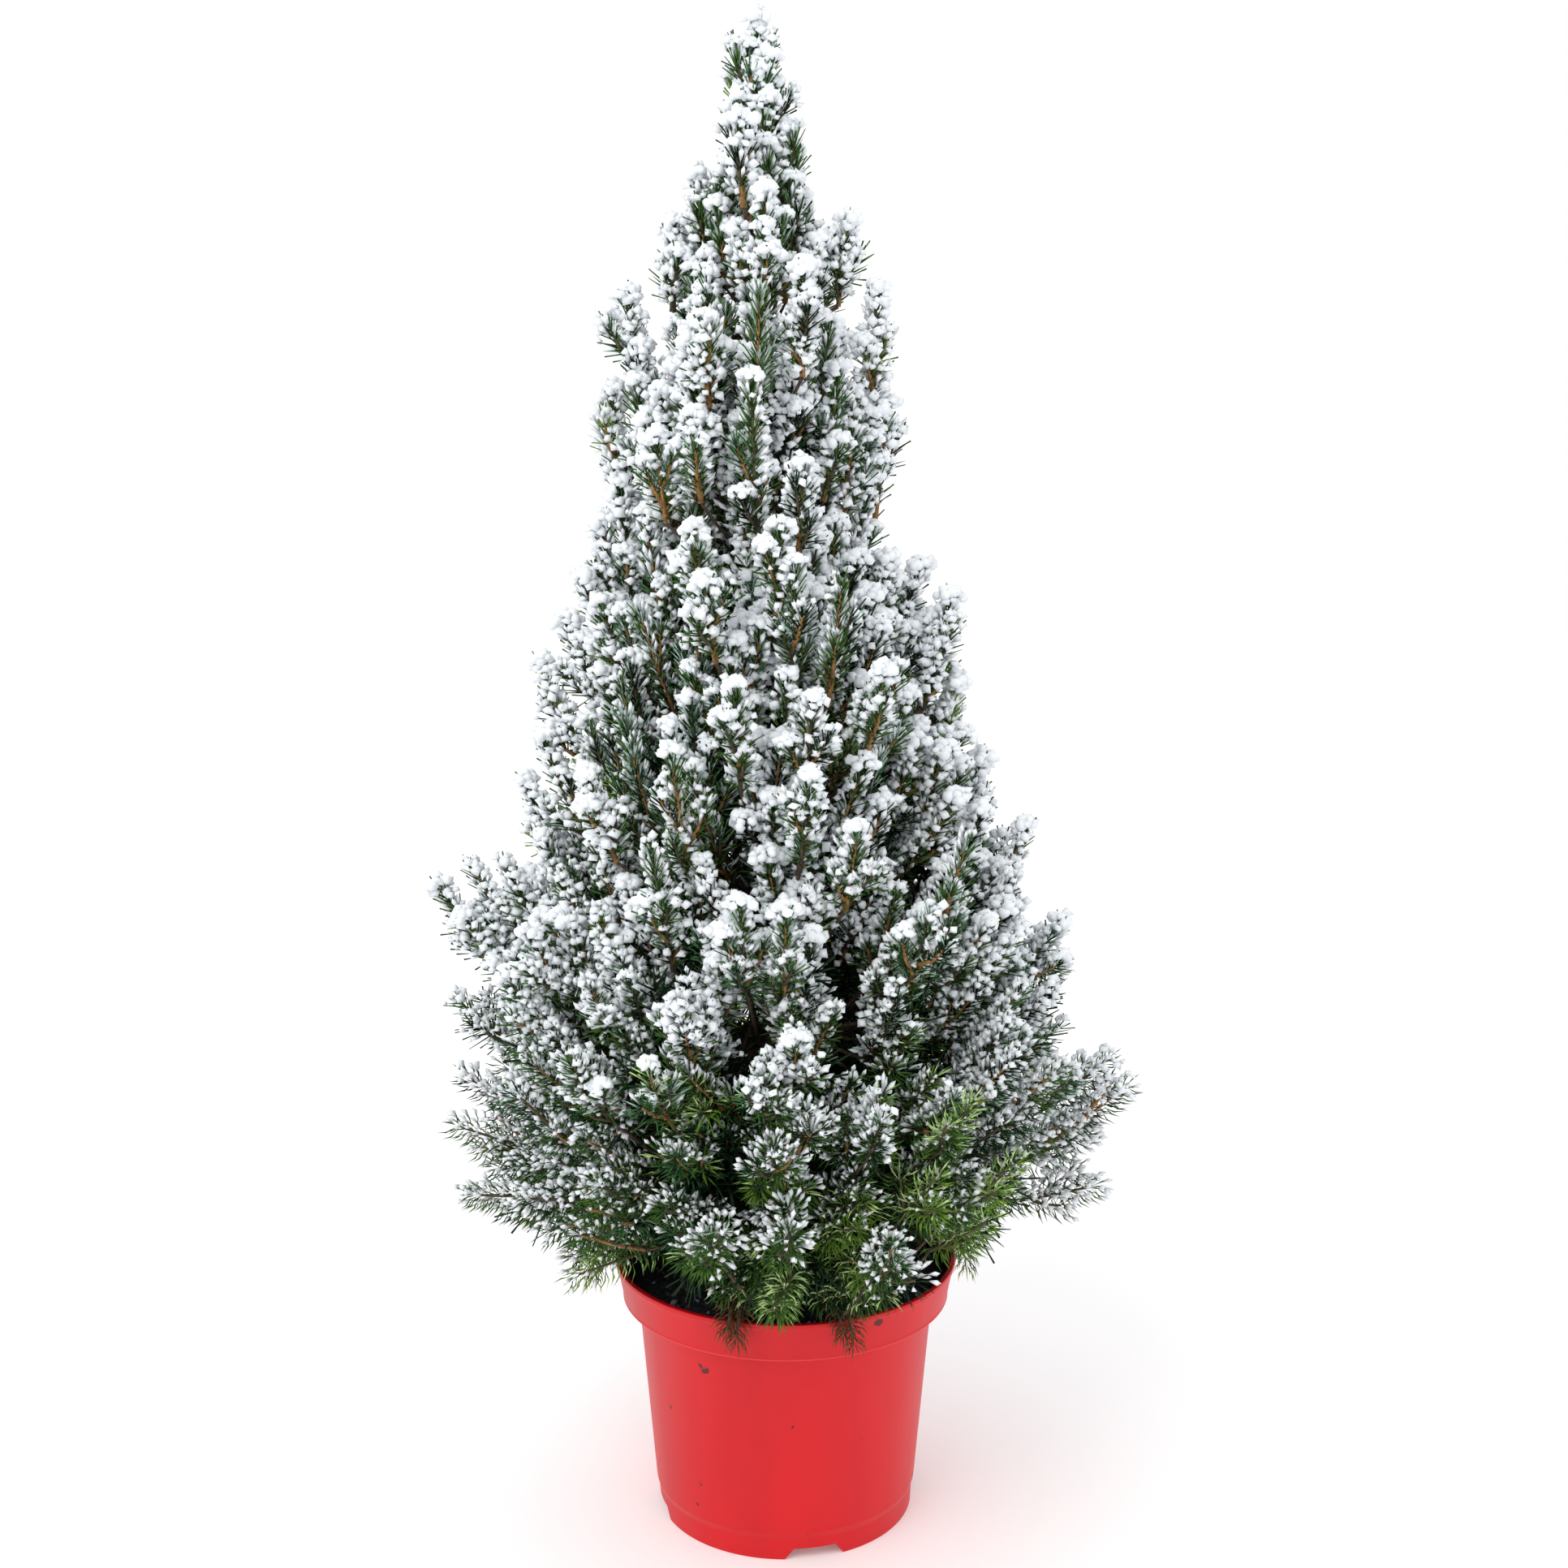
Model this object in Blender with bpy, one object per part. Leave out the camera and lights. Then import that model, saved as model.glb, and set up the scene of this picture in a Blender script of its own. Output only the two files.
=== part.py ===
"""A dwarf Alberta spruce in a plastic nursery pot.

The crown is laid out in its own coordinates. A growth line is the path that a limb takes from the
trunk to the outline, and its level runs from 0 at the skirt to the number of tiers at the top. A
level, a turn round the trunk and a share of the way out give a point, so each mass of foliage is a
block of those three numbers and no two blocks meet.

Metres, +Z up. The origin is the centre of the pot's flat underside. Turns are in degrees from +X,
anticlockwise from above, and the plant's front is at 270.
"""

import math
import random
from collections import Counter

import bmesh
import bpy
from mathutils import Vector

# Whole plant
TOTAL_HEIGHT = 0.806
GAP = 0.0003  # between pieces that meet
WELD = 1e-6
SLIVER = 3e-5
TRIES = 16
SEED = 7

# Pot, a 19 cm nursery container
POT_HEIGHT = 0.147
LIP_RADIUS = 0.0950
COLLAR_FOOT_RADIUS = 0.0905
COLLAR_FOOT_HEIGHT = 0.1248
BODY_TOP_RADIUS = 0.0823
BODY_FOOT_RADIUS = 0.0732
BASE_RADIUS = 0.0713
BASE_STEP_HEIGHT = 0.0160
WALL = 0.0020
FLOOR_UNDER = 0.0070
FLOOR_TOP = 0.0095
FOOT_DISC_RADIUS = 0.0400
POT_SIDES = 32

# Drain notches in the pot's standing ring, and the holes in its floor
NOTCHES = 4
NOTCH_TURN = 283.0
NOTCH_FOOT_WIDTH = 0.033
NOTCH_TOP_WIDTH = 0.023
NOTCH_HEIGHT = 0.0065
HOLE_RADIUS = 0.0045
HOLE_CIRCLE = 0.0530

# Soil
SOIL_TOP = 0.1375
SOIL_BUMP = 0.0014
SOIL_SIDES = 24

# Trunk
TRUNK_FOOT = SOIL_TOP + GAP
TRUNK_TIP = 0.6450
TRUNK_RADIUS = 0.0090
TRUNK_TIP_RADIUS = 0.0019
FLARE = 0.0050
FLARE_HEIGHT = 0.0070
LEAN = -0.0145  # sideways offset of the plant's top
TRUNK_SIDES = 10
TRUNK_RINGS = 12

# Growth lines between the tiers: height at the trunk, height at the outline, reach, arch
LINES = (
    (0.1480, 0.143, 0.108, 0.008),
    (0.165, 0.196, 0.190, 0.004),
    (0.190, 0.265, 0.192, 0.000),
    (0.232, 0.345, 0.180, 0.000),
    (0.290, 0.435, 0.142, 0.000),
    (0.365, 0.540, 0.106, 0.000),
    (0.465, 0.660, 0.085, 0.000),
    (0.610, 0.725, 0.062, 0.000),
)
SWEEP = 1.6  # power that turns a growth line upwards as it nears the outline

# Tiers of boughs from the skirt up: turn of the first bough, and how far each one grows of its reach
TIERS = (
    (198.0, (1.00, 0.92, 0.95, 0.90, 0.95)),
    (176.0, (1.00, 0.95, 0.97, 1.00, 0.94)),
    (356.0, (1.00, 0.95, 0.96, 0.98, 0.95)),
    (182.0, (1.00, 0.92, 0.84, 0.94)),
    (25.0, (0.98, 0.93, 0.95)),
    (168.0, (1.00, 0.95, 0.90)),
    (350.0, (0.97, 0.93, 1.00)),
)
BARE_SHARE = 0.28  # of the way out, where a bough enters its mass
BOUGH_RADIUS = (0.0030, 0.0016)  # at the trunk, in the lowest and the highest tier
BOUGH_TAPER = 0.68
BOUGH_SIDES = 5
BOUGH_RINGS = 4

# Shoots that stand out of the outline: turn, height of the tip, reach from the trunk's axis
STANDOUTS = (
    (184.0, 0.724, 0.029),
    (180.0, 0.701, 0.048),
    (0.0, 0.703, 0.047),
    (182.0, 0.668, 0.070),
    (358.0, 0.668, 0.064),
    (176.0, 0.618, 0.084),
    (184.0, 0.575, 0.082),
    (2.0, 0.610, 0.070),
    (4.0, 0.526, 0.088),
    (356.0, 0.512, 0.102),
    (178.0, 0.500, 0.096),
    (358.0, 0.466, 0.106),
    (182.0, 0.460, 0.120),
    (1.0, 0.425, 0.120),
    (355.0, 0.392, 0.142),
    (180.0, 0.398, 0.130),
    (183.0, 0.363, 0.186),
    (359.0, 0.335, 0.160),
    (180.0, 0.300, 0.178),
    (359.0, 0.245, 0.190),
    (181.0, 0.222, 0.190),
    (1.0, 0.184, 0.178),
)

# Masses of foliage
SHOOTS = (5, 5, 6, 6, 7, 7, 6)  # in each mass of a tier
LEADER_SHOOTS = 6
LEADER_TURN = 222.5
LEADER_TIPS = ((0.708, 0.036), (0.768, 0.019))  # height and reach of the lowest and highest
LEADER_RISE = 0.022  # from a shoot's root to its tip, and more where it reaches out
LEADER_SPRAY = 0.36  # share of the leader below the leading shoot's needles
SHOOT_LENGTH = 0.054
SHOOT_RADIUS = 0.0034
SHOOT_SIDES = 3
BAND_LENGTH = 0.018
NEEDLE_REACH = 0.0120
NEEDLE_SPACE = 0.0100
SPRAY_WIDTH = 0.0330
NEEDLE_LEAN = 0.0090
TWIG_RADIUS = 0.0017
TWIG_TIP_RADIUS = 0.0010
TWIG_ROOTS = (0.63, 0.43)  # shares of the way out, where the first and last twigs leave the stem
TWIG_RINGS = 4
STEM_SIDES = 5
CORED_TIERS = 7  # the tiers that are dense enough to have a core
CORE_OUT = (0.575, 0.255)  # middle and half size, as shares of the way out
CORE_HALF_LEVEL = 0.39
CORE_HALF_TURN = 0.41
CORE_ROUGHNESS = 0.10
CORE_NEEDLE = 0.013
LEVEL_MARGIN = 0.0015
TURN_MARGIN = 0.0012


def clear_scene():
    for obj in list(bpy.data.objects):
        bpy.data.objects.remove(obj)


def material(name, colour, roughness):
    made = bpy.data.materials.new(name)
    made.use_nodes = True
    shader = made.node_tree.nodes["Principled BSDF"]
    shader.inputs["Base Color"].default_value = (*colour, 1.0)
    shader.inputs["Roughness"].default_value = roughness
    shader.inputs["Metallic"].default_value = 0.0
    return made


def mesh_object(name, verts, faces, finish, smooth=False):
    """A new object from points and faces, with its normals turned outwards."""
    mesh = bpy.data.meshes.new(name)
    mesh.from_pydata([tuple(v) for v in verts], [], faces)
    bm = bmesh.new()
    bm.from_mesh(mesh)
    bmesh.ops.recalc_face_normals(bm, faces=bm.faces)
    bm.to_mesh(mesh)
    bm.free()
    mesh.materials.append(finish)
    if smooth:
        mesh.shade_smooth()
        mesh.set_sharp_from_angle(angle=math.radians(40))
    obj = bpy.data.objects.new(name, mesh)
    bpy.context.scene.collection.objects.link(obj)
    return obj


def lerp(a, b, share):
    return a + (b - a) * share


# The crown's coordinates


def lean_at(height):
    """Sideways place of the trunk's axis at a height."""
    share = max(0.0, (height - SOIL_TOP) / (TOTAL_HEIGHT - SOIL_TOP))
    return LEAN * share**0.6


def growth_line(level):
    """Height at the trunk, height at the outline, reach and arch of the growth line at a level."""
    below = min(max(int(level), 0), len(LINES) - 2)
    share = level - below
    return [lerp(a, b, share) for a, b in zip(LINES[below], LINES[below + 1])]


def line_height(level, radius):
    """Height of a growth line at a radius from the trunk's axis."""
    root, tip, reach, arch = growth_line(level)
    out = radius / reach
    return root + (tip - root) * out**SWEEP + arch * 4 * out * (1 - out)


def crown_point(level, turn, out):
    """The point at a level, a turn in degrees and a share of the way out."""
    radius = growth_line(level)[2] * out
    height = line_height(level, radius)
    angle = math.radians(turn)
    return Vector(
        (lean_at(height) + radius * math.cos(angle), radius * math.sin(angle), height)
    )


def trunk_radius(height):
    """Taper from the foot to the tip, and the root flare."""
    share = min(1.0, (height - TRUNK_FOOT) / (TRUNK_TIP - TRUNK_FOOT))
    flare = FLARE * math.exp(-(height - TRUNK_FOOT) / FLARE_HEIGHT)
    return lerp(TRUNK_RADIUS, TRUNK_TIP_RADIUS, share) + flare


# Tubes


def frames_along(points):
    """A tangent and two cross directions at each point, turning as little as they can."""
    frames = []
    side = None
    for i, point in enumerate(points):
        ahead = points[min(i + 1, len(points) - 1)]
        behind = points[max(i - 1, 0)]
        tangent = (ahead - behind).normalized()
        if side is None:
            side = tangent.cross(Vector((0, 0, 1)))
            if side.length < 1e-3:
                side = tangent.cross(Vector((0, 1, 0)))
        side = (side - tangent * side.dot(tangent)).normalized()
        frames.append((tangent, side, tangent.cross(side)))
    return frames


def rings_along(points, radii, sides, twist=0.0):
    """Rings of points round a path, each turned on from the one before by a share of a side."""
    rings = []
    for i, (point, radius, frame) in enumerate(zip(points, radii, frames_along(points))):
        _, across, over = frame
        ring = []
        for k in range(sides):
            angle = 2 * math.pi * (k + twist * i) / sides
            ring.append(point + (across * math.cos(angle) + over * math.sin(angle)) * radius)
        rings.append(ring)
    return rings


def skin(rings, first=None, last=None):
    """Points and faces of a closed tube. Each end is a flat cap, or a fan to the point given."""
    sides = len(rings[0])
    verts = [v for ring in rings for v in ring]
    faces = []
    for i in range(len(rings) - 1):
        for k in range(sides):
            a, b = i * sides + k, i * sides + (k + 1) % sides
            faces.append((a, b, b + sides, a + sides))
    for centre, start in ((first, 0), (last, (len(rings) - 1) * sides)):
        ring = [start + k for k in range(sides)]
        if centre is None:
            faces.append(tuple(ring))
        else:
            verts.append(centre)
            faces += [(ring[k], ring[(k + 1) % sides], len(verts) - 1) for k in range(sides)]
    return verts, faces


# Pot and soil


def turned(name, profile, sides, finish):
    """A solid of revolution from a profile that starts and ends on the axis."""
    verts = []
    for radius, height in profile[1:-1]:
        for k in range(sides):
            angle = 2 * math.pi * k / sides
            verts.append(Vector((radius * math.cos(angle), radius * math.sin(angle), height)))
    faces = []
    rows = len(profile) - 2
    for i in range(rows - 1):
        for k in range(sides):
            a, b = i * sides + k, i * sides + (k + 1) % sides
            faces.append((a, b, b + sides, a + sides))
    for end, start in ((profile[0], 0), (profile[-1], (rows - 1) * sides)):
        verts.append(Vector((0, 0, end[1])))
        faces += [(start + k, start + (k + 1) % sides, len(verts) - 1) for k in range(sides)]
    return mesh_object(name, verts, faces, finish, smooth=True)


def inner_radius(height):
    """Radius of the pot's inside, below its ledge and in its collar."""
    if height <= COLLAR_FOOT_HEIGHT + WALL:
        share = (height - BASE_STEP_HEIGHT) / (COLLAR_FOOT_HEIGHT - BASE_STEP_HEIGHT)
        return lerp(BODY_FOOT_RADIUS, BODY_TOP_RADIUS, share) - WALL
    share = (height - COLLAR_FOOT_HEIGHT) / (POT_HEIGHT - COLLAR_FOOT_HEIGHT)
    return lerp(COLLAR_FOOT_RADIUS, LIP_RADIUS - 0.001, share) - WALL


def pot_profile():
    """From the middle of the underside, out under the standing ring, up, over the lip and back in."""
    ring_inner = BASE_RADIUS - 0.004
    ledge = COLLAR_FOOT_HEIGHT + WALL
    return (
        (0, 0),
        (FOOT_DISC_RADIUS, 0),
        (FOOT_DISC_RADIUS + 0.001, FLOOR_UNDER),
        (ring_inner - 0.001, FLOOR_UNDER),
        (ring_inner, 0),
        (BASE_RADIUS - 0.0010, 0),
        (BASE_RADIUS, 0.0012),
        (BASE_RADIUS + 0.0004, BASE_STEP_HEIGHT - 0.003),
        (BODY_FOOT_RADIUS, BASE_STEP_HEIGHT),
        (BODY_TOP_RADIUS, COLLAR_FOOT_HEIGHT - 0.001),
        (COLLAR_FOOT_RADIUS - 0.001, COLLAR_FOOT_HEIGHT),
        (COLLAR_FOOT_RADIUS, COLLAR_FOOT_HEIGHT + 0.001),
        (LIP_RADIUS - 0.0010, POT_HEIGHT - 0.0030),
        (LIP_RADIUS, POT_HEIGHT - 0.0020),
        (LIP_RADIUS, POT_HEIGHT - 0.0006),
        (LIP_RADIUS - 0.0007, POT_HEIGHT),
        (LIP_RADIUS - 0.0025, POT_HEIGHT),
        (inner_radius(POT_HEIGHT - 0.001), POT_HEIGHT - 0.0008),
        (inner_radius(ledge + 0.001), ledge + 0.001),
        (inner_radius(ledge) - 0.0002, ledge - 0.0005),
        (inner_radius(FLOOR_TOP), FLOOR_TOP),
        (0, FLOOR_TOP),
    )


def notch_cutter(turn):
    """A block that is wider at its foot, across the standing ring."""
    near, far = FOOT_DISC_RADIUS + 0.012, BASE_RADIUS + 0.01
    below = -0.005
    widen = (NOTCH_FOOT_WIDTH - NOTCH_TOP_WIDTH) / NOTCH_HEIGHT
    half_foot = NOTCH_FOOT_WIDTH / 2 - widen * below / 2
    half_top = NOTCH_TOP_WIDTH / 2
    section = ((-half_foot, below), (half_foot, below), (half_top, NOTCH_HEIGHT), (-half_top, NOTCH_HEIGHT))
    out = Vector((math.cos(math.radians(turn)), math.sin(math.radians(turn)), 0))
    side = Vector((-out.y, out.x, 0))
    rings = [[out * r + side * a + Vector((0, 0, h)) for a, h in section] for r in (near, far)]
    return skin(rings)


def hole_cutter(turn):
    """A drain hole's cylinder through the pot's floor."""
    angle = math.radians(turn)
    centre = Vector((HOLE_CIRCLE * math.cos(angle), HOLE_CIRCLE * math.sin(angle), 0))
    ends = [centre + Vector((0, 0, h)) for h in (FLOOR_UNDER - 0.004, FLOOR_TOP + 0.004)]
    return skin(rings_along(ends, [HOLE_RADIUS] * 2, 8))


def apply_modifiers(obj):
    """Replaces an object's mesh with the mesh that its modifiers give."""
    graph = bpy.context.evaluated_depsgraph_get()
    mesh = bpy.data.meshes.new_from_object(obj.evaluated_get(graph))
    obj.modifiers.clear()
    obj.data = mesh


def combine(obj, others, operation, solver="EXACT"):
    """One Boolean of an object with a collection of others, applied, with the others removed."""
    collection = bpy.data.collections.new(obj.name + "_operands")
    bpy.context.scene.collection.children.link(collection)
    for other in others:
        bpy.context.scene.collection.objects.unlink(other)
        collection.objects.link(other)
    modifier = obj.modifiers.new(operation.title(), "BOOLEAN")
    modifier.operation = operation
    modifier.operand_type = "COLLECTION"
    modifier.collection = collection
    modifier.solver = solver
    bpy.context.view_layer.update()
    apply_modifiers(obj)
    for other in others:
        bpy.data.objects.remove(other)
    bpy.data.collections.remove(collection)


def build_pot(finish):
    pot = turned("pot", pot_profile(), POT_SIDES, finish)
    cutters = []
    for k in range(NOTCHES):
        turn = NOTCH_TURN + 360 / NOTCHES * k
        half_step = 180 / NOTCHES
        cutters.append(mesh_object(f"notch_{k}", *notch_cutter(turn), finish))
        cutters.append(mesh_object(f"hole_{k}", *hole_cutter(turn + half_step), finish))
    combine(pot, cutters, "DIFFERENCE")
    pot.data.shade_smooth()
    pot.data.set_sharp_from_angle(angle=math.radians(40))


def build_soil(finish):
    """Fills the pot to just under its lip, level in the middle where the trunk stands."""
    rng = random.Random(SEED)
    ledge = COLLAR_FOOT_HEIGHT + WALL + 0.001
    floor = FLOOR_TOP + GAP
    top_radius = inner_radius(SOIL_TOP) - 2 * GAP
    profile = [
        (0, floor),
        (inner_radius(floor) - 2 * GAP, floor),
        (inner_radius(COLLAR_FOOT_HEIGHT) - 2 * GAP, ledge + GAP),
        (inner_radius(ledge) - 2 * GAP, ledge + 2 * GAP),
        (top_radius, SOIL_TOP - 0.001),
        (top_radius * 0.88, SOIL_TOP),
        (top_radius * 0.62, SOIL_TOP),
        (top_radius * 0.36, SOIL_TOP),
        (0, SOIL_TOP),
    ]
    soil = turned("soil", profile, SOIL_SIDES, finish)
    for row in (4, 5):
        for k in range(SOIL_SIDES):
            soil.data.vertices[row * SOIL_SIDES + k].co.z += rng.uniform(-SOIL_BUMP, SOIL_BUMP)


# Trunk and boughs


def trunk_rings():
    """Heights of the trunk's rings, closest at its foot."""
    return [
        lerp(TRUNK_FOOT, TRUNK_TIP, (i / (TRUNK_RINGS - 1)) ** 1.5) for i in range(TRUNK_RINGS)
    ]


def build_trunk(finish):
    """From a flat cut on the soil to the foot of the leading shoot."""
    heights = trunk_rings()
    points = [Vector((lean_at(height), 0, height)) for height in heights]
    rings = rings_along(points, [trunk_radius(height) for height in heights], TRUNK_SIDES)
    for ring, height in zip(rings, heights):
        for corner in ring:
            corner.z = height
    mesh_object("trunk", *skin(rings), finish, smooth=True)


def faceted_radius(height):
    """Radius of the trunk as built, straight from ring to ring."""
    heights = trunk_rings()
    for low, high in zip(heights, heights[1:]):
        if height <= high:
            share = (height - low) / (high - low)
            return lerp(trunk_radius(low), trunk_radius(high), share)
    return TRUNK_TIP_RADIUS


def slid_to_trunk(point, direction):
    """Moves a point along a direction until it is a gap off the trunk's bark."""
    step = direction * 0.00005
    point = point.copy()
    while math.hypot(point.x - lean_at(point.z), point.y) < faceted_radius(point.z) + GAP:
        point += step
    return point


def bough_path(tier, turn):
    """Points from inside the trunk to where the bough enters its mass."""
    level = tier + 0.5
    return [
        crown_point(level, turn, BARE_SHARE * i / (BOUGH_RINGS - 1)) for i in range(BOUGH_RINGS)
    ]


def bough_radius(tier):
    return lerp(*BOUGH_RADIUS, tier / (len(TIERS) - 1))


def build_bough(name, tier, turn, finish):
    """One tapering limb, its root cut to the trunk's round side."""
    points = bough_path(tier, turn)
    radius = bough_radius(tier)
    radii = [lerp(1, BOUGH_TAPER, i / (BOUGH_RINGS - 1)) * radius for i in range(BOUGH_RINGS)]
    direction = (points[1] - points[0]).normalized()
    rings = rings_along(points, radii, BOUGH_SIDES)
    rings[0] = [slid_to_trunk(corner, direction) for corner in rings[0]]
    root = slid_to_trunk(points[0], direction)
    mesh_object(name, *skin(rings, first=root), finish, smooth=True)


# Masses of foliage


class Block:
    """The space of one mass: between two growth lines, between two turns, past the bare bough."""

    def __init__(self, tier, turn, half_width):
        self.tier = tier
        self.turn = turn
        self.half_width = half_width

    def holds(self, point):
        """Whether a point lies inside, clear of the neighbouring masses and of the limbs."""
        x, y = point.x - lean_at(point.z), point.y
        radius = math.hypot(x, y)
        low = line_height(self.tier, radius) + LEVEL_MARGIN
        high = line_height(self.tier + 1, radius) - LEVEL_MARGIN
        off = math.radians((math.degrees(math.atan2(y, x)) - self.turn + 180) % 360 - 180)
        to_side = math.radians(self.half_width) - abs(off)
        inner = growth_line(self.tier + 0.5)[2] * BARE_SHARE + 2 * GAP
        return (
            low < point.z < high
            and radius * math.sin(min(to_side, math.pi / 2)) > TURN_MARGIN
            and radius * math.cos(off) > inner
        )


def leader_holds(point):
    """Whether a point lies above the highest tier and clear of the trunk's tip."""
    radius = math.hypot(point.x - lean_at(point.z), point.y)
    return point.z > line_height(len(TIERS), radius) + LEVEL_MARGIN and point.z > TRUNK_TIP + GAP


def twig_path(level, turn, out, root, block):
    """A twig's points: it leaves the stem inside the mass and turns into line with its neighbours."""
    mid = block.tier + 0.5
    points = []
    for i in range(TWIG_RINGS):
        share = i / (TWIG_RINGS - 1)
        away = 1 - (1 - share) ** 2
        aside = lerp(block.turn, turn, away)
        points.append(crown_point(lerp(mid, level, away), aside, lerp(root, out, share)))
    return points


def spray_axis(points, length):
    """Where a spray's straight axis begins and ends: the last stretch of the path."""
    tip = points[-1]
    start = len(points) - 1
    while start > 0 and (points[start] - tip).length < length:
        start -= 1
    root = points[start]
    stretch = min(length, (tip - root).length)
    return tip + (root - tip).normalized() * stretch, tip


def off_segment(point, begin, end):
    """Distance from a point to a straight piece between two others."""
    axis = end - begin
    share = min(max((point - begin).dot(axis) / axis.length_squared, 0.0), 1.0)
    return (point - begin - axis * share).length


def needled_shoot(begin, tip, others=(), hidden=None):
    """A closed spray: a slim core with a needle on each side of each band.

    A needle that would grow into another spray, or where it would be hidden, is left off.
    """
    axis = (tip - begin).normalized()
    stretch = (tip - begin).length
    bands = max(2, round(stretch / BAND_LENGTH))
    core = [begin + axis * stretch * k / bands for k in range(bands + 1)]
    radii = [SHOOT_RADIUS * (0.85 if k == 0 else 0.6 if k == bands else 1) for k in range(bands + 1)]
    rings = rings_along(core, radii, SHOOT_SIDES, twist=0.5)
    verts, plain = skin(rings, last=tip + axis * NEEDLE_LEAN)
    faces = []
    for face in plain:
        apex = None
        if len(face) == 4 and max(face) >= SHOOT_SIDES:
            middle = sum((verts[v] for v in face), Vector()) / 4
            outward = (middle - begin - axis * (middle - begin).dot(axis)).normalized()
            apex = middle + outward * NEEDLE_REACH + axis * NEEDLE_LEAN
            if any(off_segment(apex, *other) < NEEDLE_SPACE for other in others):
                apex = None
            elif hidden and hidden(apex):
                apex = None
        if apex is None:
            faces.append(face)
        else:
            verts.append(apex)
            faces += [(face[k], face[(k + 1) % 4], len(verts) - 1) for k in range(4)]
    return verts, faces


def twig_to(points, begin, axis):
    """The bare twig from the stem into the foot of its spray."""
    path = [p for p in points if (p - begin).dot(axis) < -0.002]
    if not path:
        return None
    path.append(begin + axis * 0.004)
    radii = [TWIG_RADIUS] * (len(path) - 1) + [TWIG_TIP_RADIUS]
    return skin(rings_along(path, radii, 3))


def core_shape(block, axes, rng):
    """A rough lump in the middle of a dense mass, with needles on every other face."""
    mid = block.tier + 0.5
    bm = bmesh.new()
    bmesh.ops.create_icosphere(bm, subdivisions=2, radius=1.0)
    index = {v: i for i, v in enumerate(bm.verts)}
    verts = []
    for v in bm.verts:
        unit = v.co * (1 + rng.uniform(-CORE_ROUGHNESS, CORE_ROUGHNESS))
        level = mid + CORE_HALF_LEVEL * unit.z
        turn = block.turn + 2 * block.half_width * CORE_HALF_TURN * unit.y
        verts.append(crown_point(level, turn, CORE_OUT[0] + CORE_OUT[1] * unit.x))
    plain = [tuple(index[v] for v in face.verts) for face in bm.faces]
    bm.free()
    middle = crown_point(mid, block.turn, CORE_OUT[0])
    growth = (crown_point(mid, block.turn, CORE_OUT[0] + 0.1) - middle).normalized()
    faces = []
    for number, face in enumerate(plain):
        centre = sum((verts[v] for v in face), Vector()) / 3
        outward = (centre - middle).normalized()
        apex = centre + (outward + growth * 0.7).normalized() * CORE_NEEDLE
        clear = all(off_segment(apex, *axis) > NEEDLE_SPACE for axis in axes)
        if number % 2 and outward.dot(growth) > -0.6 and clear and block.holds(apex):
            verts.append(apex)
            faces += [(face[k], face[(k + 1) % 3], len(verts) - 1) for k in range(3)]
        else:
            faces.append(face)
    return verts, faces


def keep_body(obj):
    """Drops loose scraps and sealed hollows, and leaves the one body."""
    bm = bmesh.new()
    bm.from_mesh(obj.data)
    bmesh.ops.triangulate(bm, faces=bm.faces)
    bmesh.ops.dissolve_degenerate(bm, edges=bm.edges, dist=SLIVER)
    bmesh.ops.triangulate(bm, faces=bm.faces)
    left, islands = set(bm.faces), []
    while left:
        found, edge = set(), [left.pop()]
        while edge:
            face = edge.pop()
            found.add(face)
            joined = [e for e in face.edges if len(e.link_faces) == 2]
            near = {f for e in joined for f in e.link_faces} & left
            left -= near
            edge += near
        islands.append(found)
    body = max(islands, key=len)
    scraps = [f for part in islands if part is not body for f in part]
    bmesh.ops.delete(bm, geom=scraps, context="FACES")
    bm.to_mesh(obj.data)
    bm.free()


def is_sound(obj):
    """Whether each edge still has two faces once points nearer than a micrometre are one."""
    spots = {}
    index = [
        spots.setdefault(tuple(round(c / WELD) for c in v.co), len(spots))
        for v in obj.data.vertices
    ]
    edges = Counter()
    for face in obj.data.polygons:
        corners = [index[v] for v in face.vertices]
        if len(set(corners)) == 3:
            edges.update(frozenset((corners[k - 1], corners[k])) for k in range(3))
    return all(count == 2 for count in edges.values())


def fused(name, stem, pieces, finish):
    """One body from a stem and the pieces that grow out of it, or None where the union failed."""
    for solver in ("EXACT", "MANIFOLD"):
        obj = mesh_object(name, *stem, finish)
        others = [mesh_object(f"{name}_{i}", v, f, finish) for i, (v, f) in enumerate(pieces)]
        combine(obj, others, "UNION", solver)
        keep_body(obj)
        if is_sound(obj):
            return obj
        bpy.data.objects.remove(obj)
    return None


def standouts_in(block):
    """The named tips of this block, as level, turn and share of the way out."""
    found = []
    for turn, height, reach in STANDOUTS:
        off = (turn - block.turn + 180) % 360 - 180
        low, high = line_height(block.tier, reach), line_height(block.tier + 1, reach)
        if abs(off) < block.half_width and low < height < high:
            level = block.tier + min(max((height - low) / (high - low), 0.2), 0.8)
            found.append((level, block.turn + off, (reach - NEEDLE_LEAN) / growth_line(level)[2]))
    return found


def pattern_tip(block, vigour, number, rng):
    """The next tip of an even pattern over the block's face, a spray's width in from its edges."""
    across = (0.5 + number * 0.7548777) % 1 - 0.5
    up = (0.5 + number * 0.5698403) % 1 - 0.5
    middle = growth_line(block.tier + 0.5)[2] * vigour - SHOOT_LENGTH / 2
    thick = line_height(block.tier + 1, middle) - line_height(block.tier, middle)
    wide = 2 * middle * math.sin(math.radians(block.half_width))
    level = block.tier + 0.5 + up * max(0.0, 1 - SPRAY_WIDTH / thick)
    turn = block.turn + 2 * block.half_width * across * max(0.0, 1 - SPRAY_WIDTH / wide)
    return level, turn, vigour * rng.uniform(0.88, 1.0)


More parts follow.
